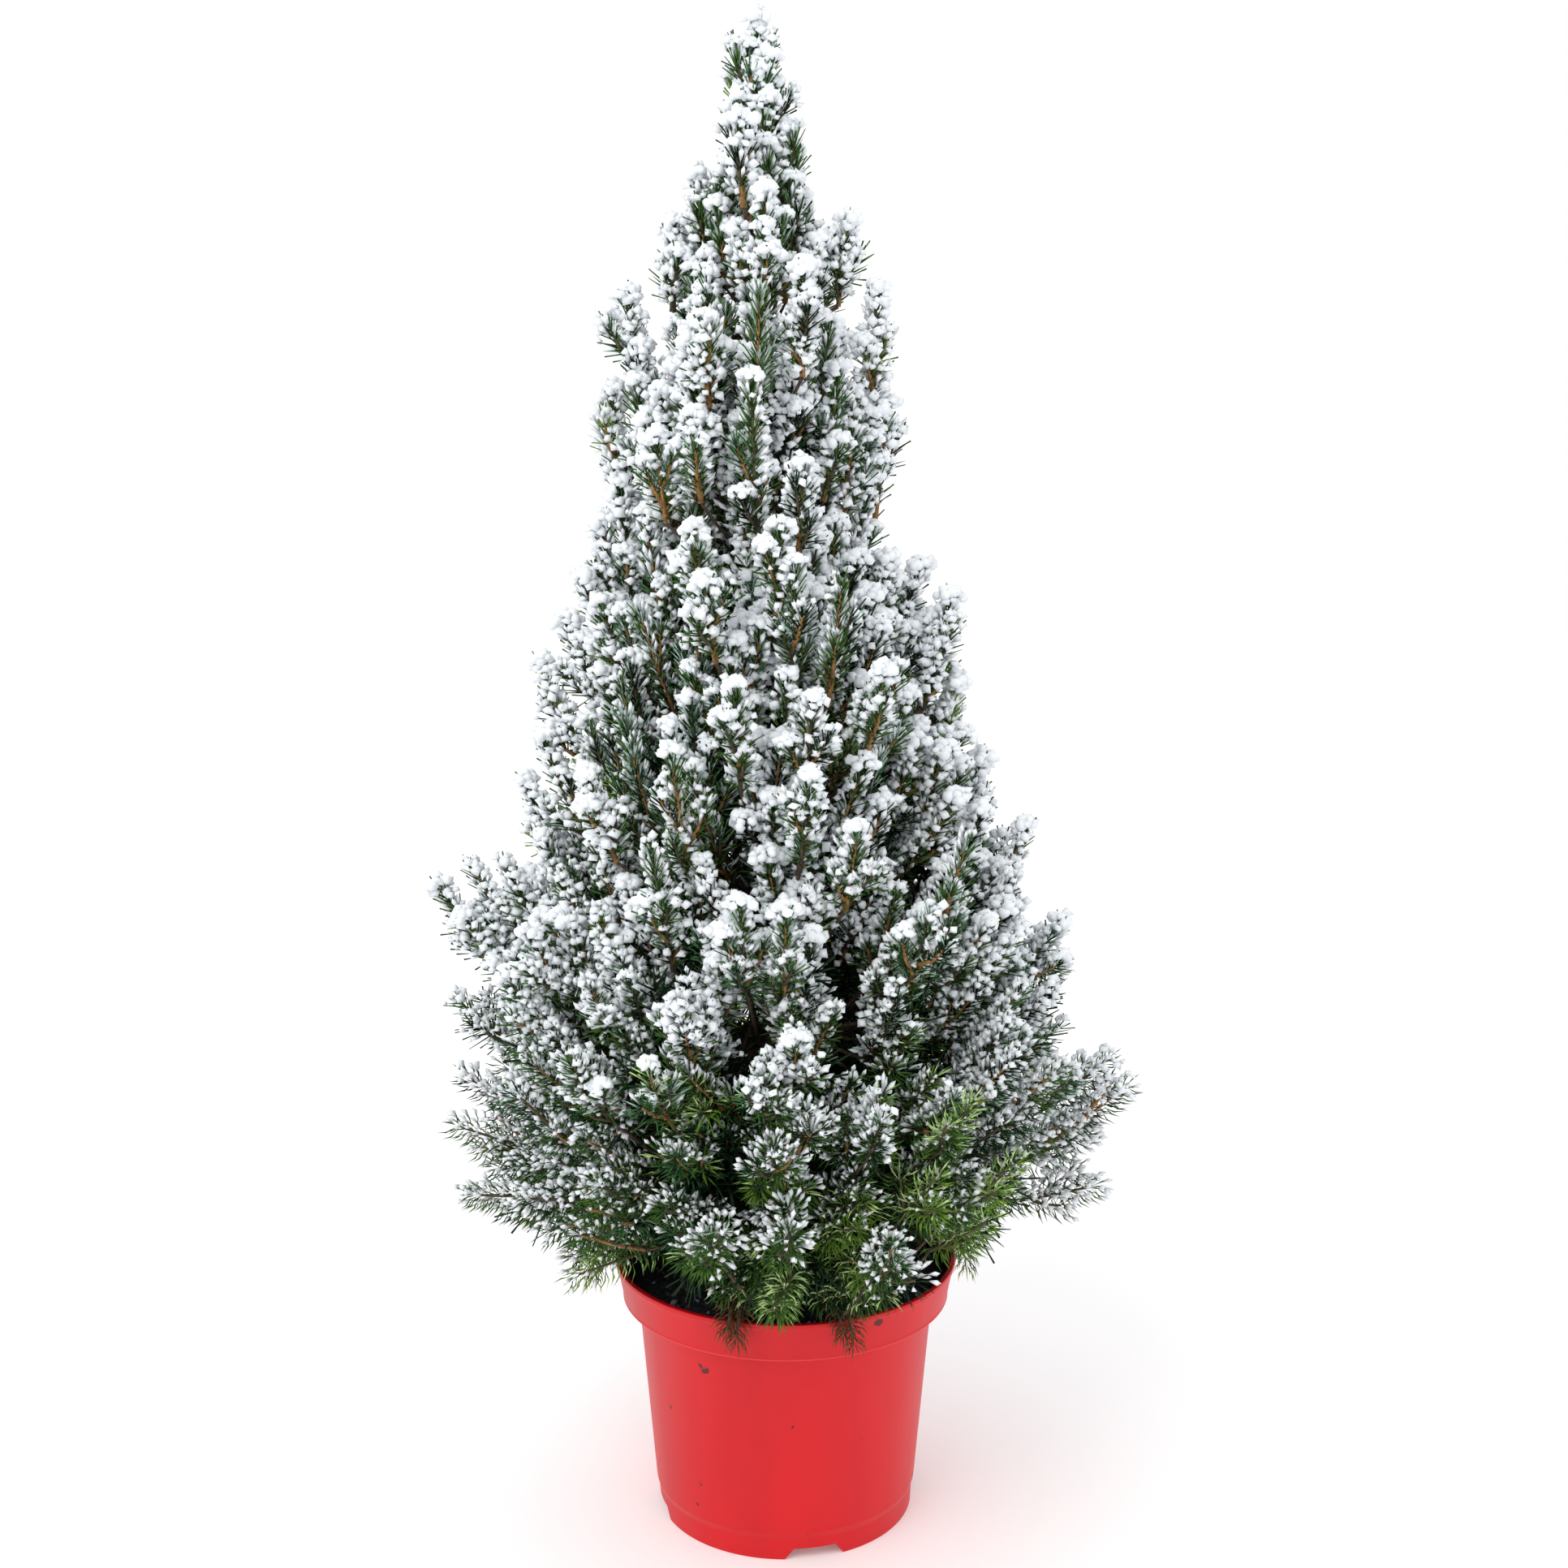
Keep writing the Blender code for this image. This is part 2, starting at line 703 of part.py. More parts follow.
def in_core(block, point):
    """Whether a point lies in the lump at the middle of a dense mass, or close over it."""
    if block.tier >= CORED_TIERS:
        return False
    x, y = point.x - lean_at(point.z), point.y
    radius = math.hypot(x, y)
    low, high = line_height(block.tier, radius), line_height(block.tier + 1, radius)
    rise = (point.z - low) / (high - low)
    off = (math.degrees(math.atan2(y, x)) - block.turn + 180) % 360 - 180
    out = radius / growth_line(block.tier + rise)[2]
    return (
        ((rise - 0.5) / CORE_HALF_LEVEL) ** 2
        + (off / (2 * block.half_width * CORE_HALF_TURN)) ** 2
        + ((out - CORE_OUT[0]) / CORE_OUT[1]) ** 2
    ) < 1.2


def build_mass(name, block, vigour, shoots, finish, rng):
    """One stem that carries on from its bough, a core in a dense mass, and twigs ending in sprays."""
    mid = block.tier + 0.5
    start = crown_point(mid, block.turn, BARE_SHARE)
    before = crown_point(mid, block.turn, BARE_SHARE - 0.01)
    direction = (start - before).normalized()
    radius = bough_radius(block.tier) * BOUGH_TAPER
    stem_points = [start + direction * GAP]
    stem_points += [crown_point(mid, block.turn, out) for out in (0.45, 0.56, 0.68)]
    stem_radii = [radius, radius, radius * 0.85, radius * 0.7]
    tips = standouts_in(block)
    tips += [pattern_tip(block, vigour, n, rng) for n in range(shoots * 3)]
    chosen, axes = [], []
    for level, turn, out in tips:
        if len(chosen) == shoots:
            break
        for shrink in (1.0, 0.96, 0.92, 0.88):
            root = lerp(*TWIG_ROOTS, len(chosen) / shoots)
            points = twig_path(level, turn, out * shrink, root, block)
            begin, tip = spray_axis(points, SHOOT_LENGTH)
            verts, _ = needled_shoot(begin, tip)
            if all(block.holds(v) for v in verts):
                chosen.append(points)
                axes.append((begin, tip))
                break
    pieces = [core_shape(block, axes, rng)] if block.tier < CORED_TIERS else []
    for points, axis in zip(chosen, axes):
        others = [other for other in axes if other is not axis]
        pieces.append(needled_shoot(*axis, others, lambda point: in_core(block, point)))
        twig = twig_to(points, axis[0], (axis[1] - axis[0]).normalized())
        if twig:
            pieces.append(twig)
    stem = skin(rings_along(stem_points, stem_radii, STEM_SIDES))
    return fused(name, stem, pieces, finish)


def build_leader(name, finish, rng):
    """The spire: the leading shoot and the shoots round its foot."""
    foot = Vector((lean_at(TRUNK_TIP), 0, TRUNK_TIP + GAP))
    top = Vector((lean_at(TOTAL_HEIGHT), 0, TOTAL_HEIGHT - NEEDLE_LEAN))
    stem_ends = (0, LEADER_SPRAY - 0.04, LEADER_SPRAY + 0.04)
    stem_points = [foot.lerp(top, share) for share in stem_ends]
    stem_rings = rings_along(stem_points, (TRUNK_TIP_RADIUS, 0.0016, TWIG_TIP_RADIUS), STEM_SIDES)
    for corner in stem_rings[0]:
        corner.z = foot.z
    tips = [tip for tip in STANDOUTS if tip[1] > line_height(len(TIERS), tip[2]) + LEVEL_MARGIN]
    for k in range(LEADER_SHOOTS):
        share = k / (LEADER_SHOOTS - 1)
        height, reach = (lerp(a, b, share) for a, b in zip(*LEADER_TIPS))
        turn = LEADER_TURN * k + 60 + rng.uniform(-12, 12)
        tips.append((turn, height + rng.uniform(-0.004, 0.004), reach))
    axes = [(foot.lerp(top, LEADER_SPRAY), top)]
    twigs = []
    for turn, height, reach in tips:
        angle = math.radians(turn)
        tip = Vector((lean_at(height) + reach * math.cos(angle), reach * math.sin(angle), height))
        rise = max(height - LEADER_RISE - reach * 0.5, foot.z + 0.002 * len(axes))
        root = foot.lerp(top, (rise - foot.z) / (top.z - foot.z))
        begin, tip = spray_axis([root, tip], SHOOT_LENGTH)
        if all(leader_holds(v) for v in needled_shoot(begin, tip)[0]):
            axes.append((begin, tip))
            twig = twig_to([root, begin], begin, (tip - begin).normalized())
            twigs += [twig] if twig else []
    pieces = [needled_shoot(*axis, [a for a in axes if a is not axis]) for axis in axes] + twigs
    return fused(name, skin(stem_rings), pieces, finish)


def grown(name, build_it, *sizes):
    """Builds a mass from its own seed, and from the next one where the union of its pieces failed."""
    for number in range(TRIES):
        if build_it(name, *sizes, random.Random(f"{SEED}-{name}-{number}")):
            return
    print(f"{name} has no sound union")


def build():
    clear_scene()
    red = material("pot_red", (0.74, 0.03, 0.04), 0.38)
    earth = material("soil_dark", (0.02, 0.016, 0.018), 0.95)
    bark = material("bark", (0.16, 0.09, 0.05), 0.85)
    green = material("snowy_needles", (0.30, 0.38, 0.33), 0.75)
    build_pot(red)
    build_soil(earth)
    build_trunk(bark)
    for tier, (first, vigours) in enumerate(TIERS):
        for k, vigour in enumerate(vigours):
            turn = first + 360 / len(vigours) * k
            build_bough(f"bough_{tier + 1}_{k + 1}", tier, turn, bark)
            block = Block(tier, turn, 180 / len(vigours))
            mass = f"foliage_{tier + 1}_{k + 1}"
            grown(mass, build_mass, block, vigour, SHOOTS[tier], green)
    grown("foliage_leader", build_leader, green)


build()
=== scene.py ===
"""Looks for the potted dwarf Alberta spruce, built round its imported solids.

The crown follows the growth rule of the solids' source: the same growth lines, tiers, masses and tips,
carried on to finer twigs, needles and snow. Metres, +Z up. Turns are in degrees from +X, anticlockwise
from above, and the plant's front is at 270.
"""

import math
import random
from collections import namedtuple

import bmesh
import bpy
import numpy as np
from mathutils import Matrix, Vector, noise


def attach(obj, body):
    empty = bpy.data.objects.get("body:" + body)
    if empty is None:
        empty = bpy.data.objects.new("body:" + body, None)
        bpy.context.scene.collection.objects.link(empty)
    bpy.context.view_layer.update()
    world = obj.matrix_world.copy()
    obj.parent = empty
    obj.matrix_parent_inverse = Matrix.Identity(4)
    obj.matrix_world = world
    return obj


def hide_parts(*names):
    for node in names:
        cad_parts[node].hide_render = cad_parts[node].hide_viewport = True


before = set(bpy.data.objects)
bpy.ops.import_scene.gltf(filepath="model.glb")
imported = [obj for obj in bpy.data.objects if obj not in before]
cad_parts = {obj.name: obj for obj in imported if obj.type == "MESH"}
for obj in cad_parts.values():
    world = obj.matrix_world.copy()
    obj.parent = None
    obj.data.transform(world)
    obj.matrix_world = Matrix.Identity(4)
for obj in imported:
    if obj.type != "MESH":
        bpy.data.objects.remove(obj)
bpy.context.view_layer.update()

SEED = 7
MOST_TRIANGLES = 190_000  # in one piece
UP = np.array((0.0, 0.0, 1.0))
ACROSS = np.array((1.0, 0.0, 0.0))
GOLDEN_TURN = math.radians(137.508)


def in_metres(lengths, *rows):
    """Rows that start with a turn in degrees and this many lengths in millimetres, with those in metres."""
    return [(turn, *(value / 1000 for value in rest[:lengths]), *rest[lengths:]) for turn, *rest in rows]


# Whole plant
TOTAL_HEIGHT = 0.806
GAP = 0.0003

# Pot, a 19 cm nursery container
POT_HEIGHT = 0.147
LIP_RADIUS = 0.0950
COLLAR_FOOT_RADIUS = 0.0905
COLLAR_FOOT_HEIGHT = 0.1248
BODY_TOP_RADIUS = 0.0823
BODY_FOOT_RADIUS = 0.0732
BASE_RADIUS = 0.0713
BASE_STEP_HEIGHT = 0.0160
WALL = 0.0020
FLOOR_UNDER = 0.0070
FLOOR_TOP = 0.0095
FOOT_DISC_RADIUS = 0.0400
POT_SIDES = 128
FILLET = 0.0007
FILLET_STEPS = 4
SHARP_ANGLE = 38.0

# Drain notches in the pot's standing ring, and the holes in its floor
NOTCHES = 4
NOTCH_TURN = 283.0
NOTCH_FOOT_WIDTH = 0.033
NOTCH_TOP_WIDTH = 0.023
NOTCH_HEIGHT = 0.0065
HOLE_RADIUS = 0.0045
HOLE_CIRCLE = 0.0530
HOLE_SIDES = 24

# Soil
SOIL_TOP = 0.1375
SOIL_SIDES = 120
SOIL_RINGS = 30
SOIL_RELIEF = 0.0022
CRUMBS = 700
CRUMB_SIZE = (0.0005, 0.0012)
DRY_CRUMBS = 0.22  # share of the crumbs

# Trunk
TRUNK_FOOT = SOIL_TOP + GAP
TRUNK_TIP = 0.6450
TRUNK_RADIUS = 0.0090
TRUNK_TIP_RADIUS = 0.0019
FLARE = 0.0050
FLARE_HEIGHT = 0.0070
LEAN = -0.0145
BARK_SIDES = 30
BARK_RINGS = 110
BARK_RELIEF = 0.0005
BOUGH_SIDES = 10
BOUGH_RINGS = 36

# Growth lines between the tiers: height at the trunk, height at the outline, reach, arch
LINES = (
    (0.1480, 0.143, 0.108, 0.008),
    (0.165, 0.196, 0.190, 0.004),
    (0.190, 0.265, 0.192, 0.000),
    (0.232, 0.345, 0.180, 0.000),
    (0.290, 0.435, 0.142, 0.000),
    (0.365, 0.540, 0.106, 0.000),
    (0.465, 0.660, 0.085, 0.000),
    (0.610, 0.725, 0.062, 0.000),
)
SWEEP = 1.6

# Tiers of boughs from the skirt up: turn of the first bough, and how many there are
TIERS = ((198, 5), (176, 5), (356, 5), (182, 4), (25, 3), (168, 3), (350, 3))
BARE_SHARE = 0.28
BOUGH_RADIUS = (0.0030, 0.0016)
BOUGH_TAPER = 0.68
STEM_SHARE = 0.68

# Shoots that stand out of the outline: turn, height of the tip, reach from the trunk's axis
STANDOUTS = in_metres(
    2,
    (184, 724, 31), (180, 701, 44), (150, 690, 48), (0, 703, 45), (182, 666, 76), (358, 668, 67),
    (176, 618, 86), (181, 570, 82), (178, 551, 92), (2, 610, 72), (4, 526, 90), (356, 512, 104),
    (183, 521, 103), (179, 499, 113), (358, 466, 108), (181, 477, 127), (184, 437, 127),
    (1, 425, 122), (355, 390, 144), (179, 413, 138), (188, 372, 150), (183, 357, 186),
    (178, 345, 180), (187, 343, 172), (182, 368, 168), (359, 335, 162), (3, 308, 164),
    (180, 292, 180), (359, 245, 200), (3, 256, 192), (181, 222, 186), (176, 245, 182),
    (185, 186, 180), (1, 184, 184), (4, 212, 182),
)

# Shoots that stand up in the front: turn, height of the tip, reach, length, snow
FRONT_SHOOTS = in_metres(
    3,
    (255, 749, 34, 40, 1.0), (274, 713, 50, 50, 1.0), (290, 677, 64, 50, 1.0),
    (270, 668, 70, 70, 0.2), (248, 652, 74, 40, 0.9), (267, 625, 82, 80, 0.7),
    (247, 606, 84, 40, 1.0), (232, 596, 84, 40, 1.0), (283, 583, 88, 42, 0.9),
    (249, 552, 94, 40, 1.0), (275, 555, 94, 45, 1.0), (292, 529, 100, 62, 0.5),
    (279, 537, 98, 65, 0.6), (254, 528, 100, 40, 1.0), (263, 480, 117, 55, 0.9),
    (281, 474, 118, 42, 0.9), (300, 485, 114, 40, 1.0), (249, 449, 126, 70, 0.9),
    (279, 439, 129, 52, 0.8), (228, 435, 130, 48, 1.0), (288, 414, 138, 45, 0.9),
    (247, 406, 142, 72, 0.8), (313, 404, 142, 68, 0.4), (265, 383, 151, 62, 0.8),
    (273, 380, 153, 70, 0.8), (300, 375, 153, 48, 0.7), (255, 339, 166, 45, 1.0),
    (236, 305, 172, 50, 0.75), (274, 322, 169, 40, 0.9), (269, 307, 172, 36, 0.8),
    (287, 285, 175, 38, 0.75), (275, 292, 174, 36, 0.75), (250, 307, 171, 48, 0.6),
    (303, 286, 174, 60, 0.1), (313, 250, 174, 60, 0.1), (308, 222, 170, 55, 0.1),
    (297, 252, 172, 50, 0.1), (270, 275, 176, 34, 0.7), (259, 229, 176, 38, 0.8),
    (272, 232, 176, 36, 0.7), (289, 212, 176, 36, 0.75), (262, 655, 35, 50, 0.8),
    (230, 640, 45, 50, 0.8), (300, 640, 42, 50, 0.8), (190, 650, 44, 50, 0.7),
    (355, 645, 40, 50, 0.7), (222, 676, 36, 60, 0.6), (205, 684, 30, 56, 0.8),
    (150, 675, 30, 50, 0.8), (186, 640, 62, 60, 0.9), (195, 622, 66, 60, 0.9),
)

# Outline of the foliage: height, and reach of the needles' tips to the left and to the right, in millimetres
OUTLINE = np.array((
    (122, 85, 80), (140, 128, 104), (153, 148, 122), (166, 166, 136), (183, 173, 158),
    (217, 175, 172), (243, 172, 178), (290, 172, 171), (325, 167, 158), (345, 160, 152),
    (365, 142, 146), (390, 128, 134), (420, 118, 120), (450, 110, 110), (480, 100, 101),
    (505, 92, 94), (525, 84, 80), (545, 79, 66), (600, 80, 66), (630, 73, 60), (650, 58, 50),
    (680, 48, 45), (700, 36, 37), (725, 24, 27), (750, 19, 22), (775, 14, 15), (795, 10, 10),
    (806, 4, 4),
)).T / 1000

# Rise for each unit outwards that shoots turn to, by height
RISE_HEIGHTS = (0.14, 0.18, 0.24, 0.30, 0.36, 0.44, 0.54, 0.66, 0.75)
RISES = (-0.25, 0.10, 0.65, 1.2, 1.9, 2.8, 4.0, 6.0, 9.0)

# Twigs and shoots
TIPS = (13, 16, 19, 27, 31, 25, 14)  # on the face of each mass of a tier
EVEN_STEPS = (0.7548777, 0.5698403)  # across and up, from tip to tip
TWIG_ROOTS = (0.63, 0.43)
TWIG_POINTS = 5
TWIG_SIDES = 4
STEM_RINGS = 3
TWIG_RADIUS = (0.0015, 0.0010)
NEEDLE_LEAN = 0.0096
SHOOT_HEIGHTS = (0.14, 0.30, 0.45, 0.65, 0.80)
SHOOT_LENGTHS = (0.046, 0.062, 0.066, 0.060, 0.036)
BOW_HEIGHTS = (0.30, 0.50, 0.70)
BOWS = (0.40, 0.15, 0.05)  # how far outwards shoots set off, by height
SIDE_SHOOTS = (0.24, 0.34), (2, 3)  # by height
SIDE_LENGTH = (0.016, 0.026)
SIDE_SIZES = (0.20, 0.36, 0.66, 0.70), (1.35, 1.05, 1.0, 0.8)  # by height
SIDE_ANGLE = (28.0, 48.0)
SIDE_TURN = 137.5  # from one side shoot to the next
SIDE_CAPPED = 0.32  # share of the side shoots with a dome of snow on their tip
SHELL_DEPTH = (0.24, 0.36), (0.034, 0.020)  # how far short of the outline the tips stand at most, by height
# The shoots that fill the crown's inside carry the deep green as painted shade
FILL_SHOOTS = (34, 42, 44, 40, 32, 24, 10)  # inside each mass of a tier
FILL_SHARE = (0.0, 0.80)  # of the way in from the outline
FILL_LENGTH = 0.042
FILL_SIZE = 1.6  # how much larger the needles of those shoots are
FILL_STEP = 3.5  # and how much further apart
SHOOT_SPACE = 0.0085  # between the ends of two shoots
SHORTEST_SHOOT = 0.012
STEM_RADIUS = (0.00145, 0.00060)  # of a needled shoot
STEM_SHARE_SHOWN = 0.92
STEM_BRIGHT = (0.22, 0.62)  # share of the stems that are orange-brown, low and high in the crown
SOIL_GAPS = (  # across, and how far back the foliage leaves the soil in sight
    ((-0.102, -0.088, -0.060, -0.038), (0.030, 0.037, -0.024, -0.055)),
    ((0.050, 0.067, 0.078, 0.088, 0.102), (-0.050, 0.018, 0.050, 0.037, 0.030)),
)
SOIL_SIGHT = 0.42  # rise of the view over the rim for each metre forwards
SOIL_CLEAR = 0.014
# The skirt: radius, and the least height of the shoots' ends to the left and to the right, in millimetres
SKIRT = np.array((
    (90, 146, 148), (105, 149, 156), (127, 152, 166), (145, 155, 172), (160, 160, 177),
    (180, 183, 181),
)).T / 1000
SKIRT_FRONT = 0.006  # how much higher it is in the front

# The leading shoot and those close round it: turn, height of the tip, reach, length
LEADER_SPRAY = 0.30
STANDOUT_LENGTH = 0.041
LEADER_SHOOTS = in_metres(
    3,
    (200, 787, 5, 20), (335, 782, 6, 20), (80, 784, 5, 22), (262, 776, 5, 22), (10, 768, 9, 26),
    (130, 771, 8, 24), (190, 763, 10, 24), (305, 761, 9, 26), (60, 757, 13, 28), (232, 749, 14, 30),
    (352, 748, 17, 30), (120, 745, 15, 30), (285, 738, 14, 30), (30, 735, 18, 32),
    (190, 733, 17, 34), (155, 728, 17, 34), (258, 722, 17, 34), (330, 722, 19, 34),
    (90, 720, 20, 34), (10, 714, 21, 34), (210, 709, 24, 36), (135, 708, 23, 36),
    (300, 703, 23, 38), (50, 702, 25, 38), (245, 697, 25, 38), (350, 692, 30, 36),
    (170, 690, 30, 36), (280, 686, 30, 40), (100, 690, 30, 40), (20, 682, 34, 40),
    (200, 678, 36, 40),
)

# Shoots that hang over the pot's rim: turn, height of the tip, reach
WITHERED = in_metres(2, (256, 138.5, 102), (290.5, 136, 102), (287.5, 142, 103), (253.5, 143, 102))
HANGING = in_metres(2, (166, 118, 114), (159, 126, 119), (15, 124, 108))
RIM_SPAN = 0.030  # of such a shoot across the rim
RIM_CLEAR = 0.0110  # above it

# Needles
NEEDLE_STEP = 0.00070  # of shoot for each needle
NEEDLE_LENGTH = 0.0108
NEEDLE_WIDTH = 0.00110
NEEDLE_ANGLES = (58.0, 24.0)  # off the shoot at its foot and at its tip
SPIRE_HEIGHTS = (0.68, 0.76)
SPIRE_CLOSER = 22.0
NEEDLE_BEND = 0.07
LOW_HEIGHTS = (0.22, 0.34)  # from the low crown's habit to the high one's
LOW_LONGER = 1.15
LOW_NARROWER = 0.86
LOW_CLOSER = 0.84
LOW_SPREAD = 15.0
LOW_DROOP = 0.30
PARTED = (-0.45, 0.55)  # cosine from the snow's side past which this share of the needles is missing
KINDS = ("deep", "mid", "fresh", "blue", "brown", "dusted", "lit")
DEEP, MID, FRESH, BLUE, BROWN, DUSTED, LIT = range(7)
KIND_WEIGHTS = {  # of the first four kinds, by where a shoot grows
    "snowy": (0.27, 0.50, 0.03, 0.20),
    "low": (0.14, 0.42, 0.38, 0.06),
    "high": (0.14, 0.60, 0.20, 0.06),
}
DUSTED_SHARE = (0.45, 0.15)  # of the bare upper needles of snowy shoots, high and low in the crown
LIT_SHARE = 0.60  # of the upper needles of the low front

# Snow
SNOW_LOAD = (0.15, 0.20, 0.26, 0.34), (0.50, 0.86, 0.97, 0.99)  # by height
BARE_MIDDLE = 0.012  # of the sheltered place low in the front
BARE_WIDTH = 0.105
BARE_FRONT = -0.03
BARE_HEIGHTS = (0.22, 0.33)
SKY_OUT = (-0.80, 0.45)  # how far the snow's side of a shoot leans out of the crown
COAT_RADIUS = (0.00105, 0.00180)
FUSED_HEIGHTS = (0.14, 0.26)  # from here to here, ever more shoots carry snow in clumps
SPARSE_SHARE = 0.80  # of the snow missing in the sparse places
SPARSE_COATS = 0.45  # of what is left missing below the shoots' tips
KNOB_SHARE = 0.78  # of the coated needles of those shoots
WRAPPED_SHARE = 0.45  # of the coated needles, hidden in their coats
KNOB_RADIUS = (0.0019, 0.0034)
CAP_HEIGHTS = (0.26, 0.48)
CAP_LUMPS = 12
CAP_RADIUS = (0.0044, 0.0082)
CAP_LUMP_RADIUS = (0.0021, 0.0034)
CAP_RISE = 0.0066  # of a cap's middle over the shoot's end
LUMP_STRETCH = ((0.9, 1.25), (0.9, 1.25), (0.75, 1.05))
RIDGE_LUMPS = 11
RIDGE_SHARE = (0.25, 1.0)  # of the shoot
RIDGE_OFF = (0.0014, 0.0044)  # from the shoot's axis to the snow's side
RIDGE_RADIUS = (0.0016, 0.0030)
DRIFT_SIZE = 0.045
DRIFT = (0.45, 0.32)  # how much the snow differs from place to place, low and high in the crown
LAYERED = (0.60, 1.12)  # snow at the foot and on top of each low mass

# Places where the shoots carry little snow: turn and height, and how far each place spreads
SPARSE = (
    (222, 0.476, 20, 0.050), (229, 0.552, 10, 0.022), (247, 0.425, 9, 0.030), (250, 0.300, 10, 0.030),
    (307, 0.335, 11, 0.040), (310, 0.455, 9, 0.025), (60, 0.420, 14, 0.050), (130, 0.500, 12, 0.040),
    (20, 0.560, 12, 0.030), (95, 0.300, 14, 0.035),
)

# Colours, linear
RED = (0.620, 0.003, 0.008)
# Pale red of the painted highlight along the foot of the pot's collar
COLLAR_HIGHLIGHT_RED = (0.80, 0.050, 0.055)
POT_DIRT = (0.10, 0.008, 0.010)
NEEDLE_COLOURS = {
    # deep: a darker green dealt out at random, and painted shade on the shoots inside the crown
    "deep": (0.006, 0.029, 0.007),
    "mid": (0.044, 0.116, 0.018),
    "fresh": (0.125, 0.245, 0.028),
    "blue": (0.042, 0.126, 0.042),
    "brown": (0.150, 0.066, 0.026),
    "dusted": (0.350, 0.490, 0.420),
    "lit": (0.480, 0.660, 0.270),
}
TWIG_COLOURS = {  # light and dark
    "young_twig": ((0.40, 0.20, 0.055), (0.16, 0.080, 0.026)),
    "shaded_twig": ((0.095, 0.070, 0.030), (0.040, 0.034, 0.016)),
    "old_twig": ((0.085, 0.052, 0.03), (0.030, 0.018, 0.012)),
}
CRUMB_COLOURS = {  # dark and light
    "peat_crumbs": ((0.014, 0.013, 0.016), (0.070, 0.066, 0.078)),
    "peat_dry": ((0.12, 0.13, 0.16), (0.34, 0.37, 0.44)),
}
SNOW = (0.90, 0.935, 0.975)

# Camera and light
CAMERA_PLACE = (0.0, -1.112, 0.6315)
CAMERA_TILT = 78.88
LENS = 48.6
SENSOR = 36.0
SHIFT_X = -0.0009
WORLD_LIGHT = 1.0
KEY_PLACE = Vector((-1.0, -1.5, 2.2))
KEY_AIM = Vector((0, 0, 0.40))
KEY_SIZE = 1.6
KEY_POWER = 22.0
KEY_COLOUR = (1.0, 0.985, 0.96)
FLOOR_GLOW = 0.12
FLOOR_HALF = 4.0


# Meshes


def lerp(a, b, share):
    return a + (b - a) * share


def unit(vectors):
    """Each vector at a length of one."""
    return vectors / np.maximum(np.linalg.norm(vectors, axis=-1, keepdims=True), 1e-9)


def without(vectors, directions):
    """Vectors less what they have along some directions."""
    return vectors - directions * np.sum(vectors * directions, axis=-1, keepdims=True)


def turned_by(side, over, angle):
    """The direction at an angle from one direction towards another."""
    return side * np.cos(angle) + over * np.sin(angle)


def curve(begin, control, end, share):
    """Where a curve of three points is at a share of its way."""
    return begin * (1 - share) ** 2 + control * 2 * share * (1 - share) + end * share**2


def mesh_piece(name, verts, faces, finish):
    """A new smooth object from points and faces."""
    mesh = bpy.data.meshes.new(name)
    mesh.from_pydata(verts, [], faces, shade_flat=False)
    mesh.materials.append(finish)
    obj = bpy.data.objects.new(name, mesh)
    bpy.context.scene.collection.objects.link(obj)
    return obj


def repeated(shapes, pattern):
    """One array of points and one of triangles from many shapes (n, k, 3) with one face pattern."""
    starts = np.arange(len(shapes))[:, None, None] * shapes.shape[1]
    return shapes.reshape(-1, 3), (np.asarray(pattern) + starts).reshape(-1, 3)


def add_pieces(name, shapes, pattern, finish, slot):
    """Joined pieces of many small shapes, each under the limit of triangles."""
    parts = max(1, math.ceil(len(shapes) * len(pattern) / MOST_TRIANGLES))
    made = []
    for number, part in enumerate(np.array_split(shapes, parts)):
        label = name if parts == 1 else f"{name}_{number + 1}"
        made.append(settle(mesh_piece(label, *repeated(part, pattern), finish), slot))
    return made


def settle(obj, slot, *nodes):
    """Rides a piece on the plant's one body and hides the nodes it stands for; the slot is not used."""
    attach(obj, "root")
    if nodes:
        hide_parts(*nodes)
    return obj


def tube_shapes(paths, radii, sides):
    """Closed tubes along paths (n, m, 3): their points, and the triangles of one tube."""
    rings = paths.shape[1]
    ahead = np.concatenate([paths[:, 1:], paths[:, -1:]], axis=1)
    behind = np.concatenate([paths[:, :1], paths[:, :-1]], axis=1)
    tangents = unit(ahead - behind)
    mean = unit(paths[:, -1] - paths[:, 0])
    spare = np.where(np.abs(mean[:, 2:]) < 0.9, UP, ACROSS)
    side = unit(without(unit(np.cross(mean, spare))[:, None], tangents))
    angles = 2 * np.pi * np.arange(sides) / sides
    ring = turned_by(side[:, :, None], np.cross(tangents, side)[:, :, None], angles[:, None])
    points = paths[:, :, None] + ring * radii[..., None, None]
    points = points.reshape(len(paths), rings * sides, 3)
    return np.concatenate([points, paths[:, :1], paths[:, -1:]], axis=1), tube_triangles(rings, sides)


def tube_triangles(rings, sides):
    """Triangles of a tube whose two end points come after its rings."""
    triangles = []
    for i in range(rings - 1):
        for k in range(sides):
            a, b = i * sides + k, i * sides + (k + 1) % sides
            triangles += [(a, b, b + sides), (a, b + sides, a + sides)]
    first, last, top = rings * sides, rings * sides + 1, (rings - 1) * sides
    for k in range(sides):
        triangles.append((first, (k + 1) % sides, k))
        triangles.append((last, top + k, top + (k + 1) % sides))
    return triangles


# The crown's coordinates, as in the solids' source


def lean_at(height):
    """Sideways place of the trunk's axis at a height."""
    return LEAN * np.maximum(0.0, (height - SOIL_TOP) / (TOTAL_HEIGHT - SOIL_TOP)) ** 0.6


def growth_line(level):
    """Height at the trunk, height at the outline, reach and arch of the growth line at a level."""
    steps = np.arange(len(LINES))
    return [np.interp(level, steps, column) for column in np.transpose(LINES)]


def line_height(level, radius):
    """Height of a growth line at a radius from the trunk's axis."""
    root, tip, reach, arch = growth_line(level)
    out = radius / reach
    return root + (tip - root) * out**SWEEP + arch * 4 * out * (1 - out)


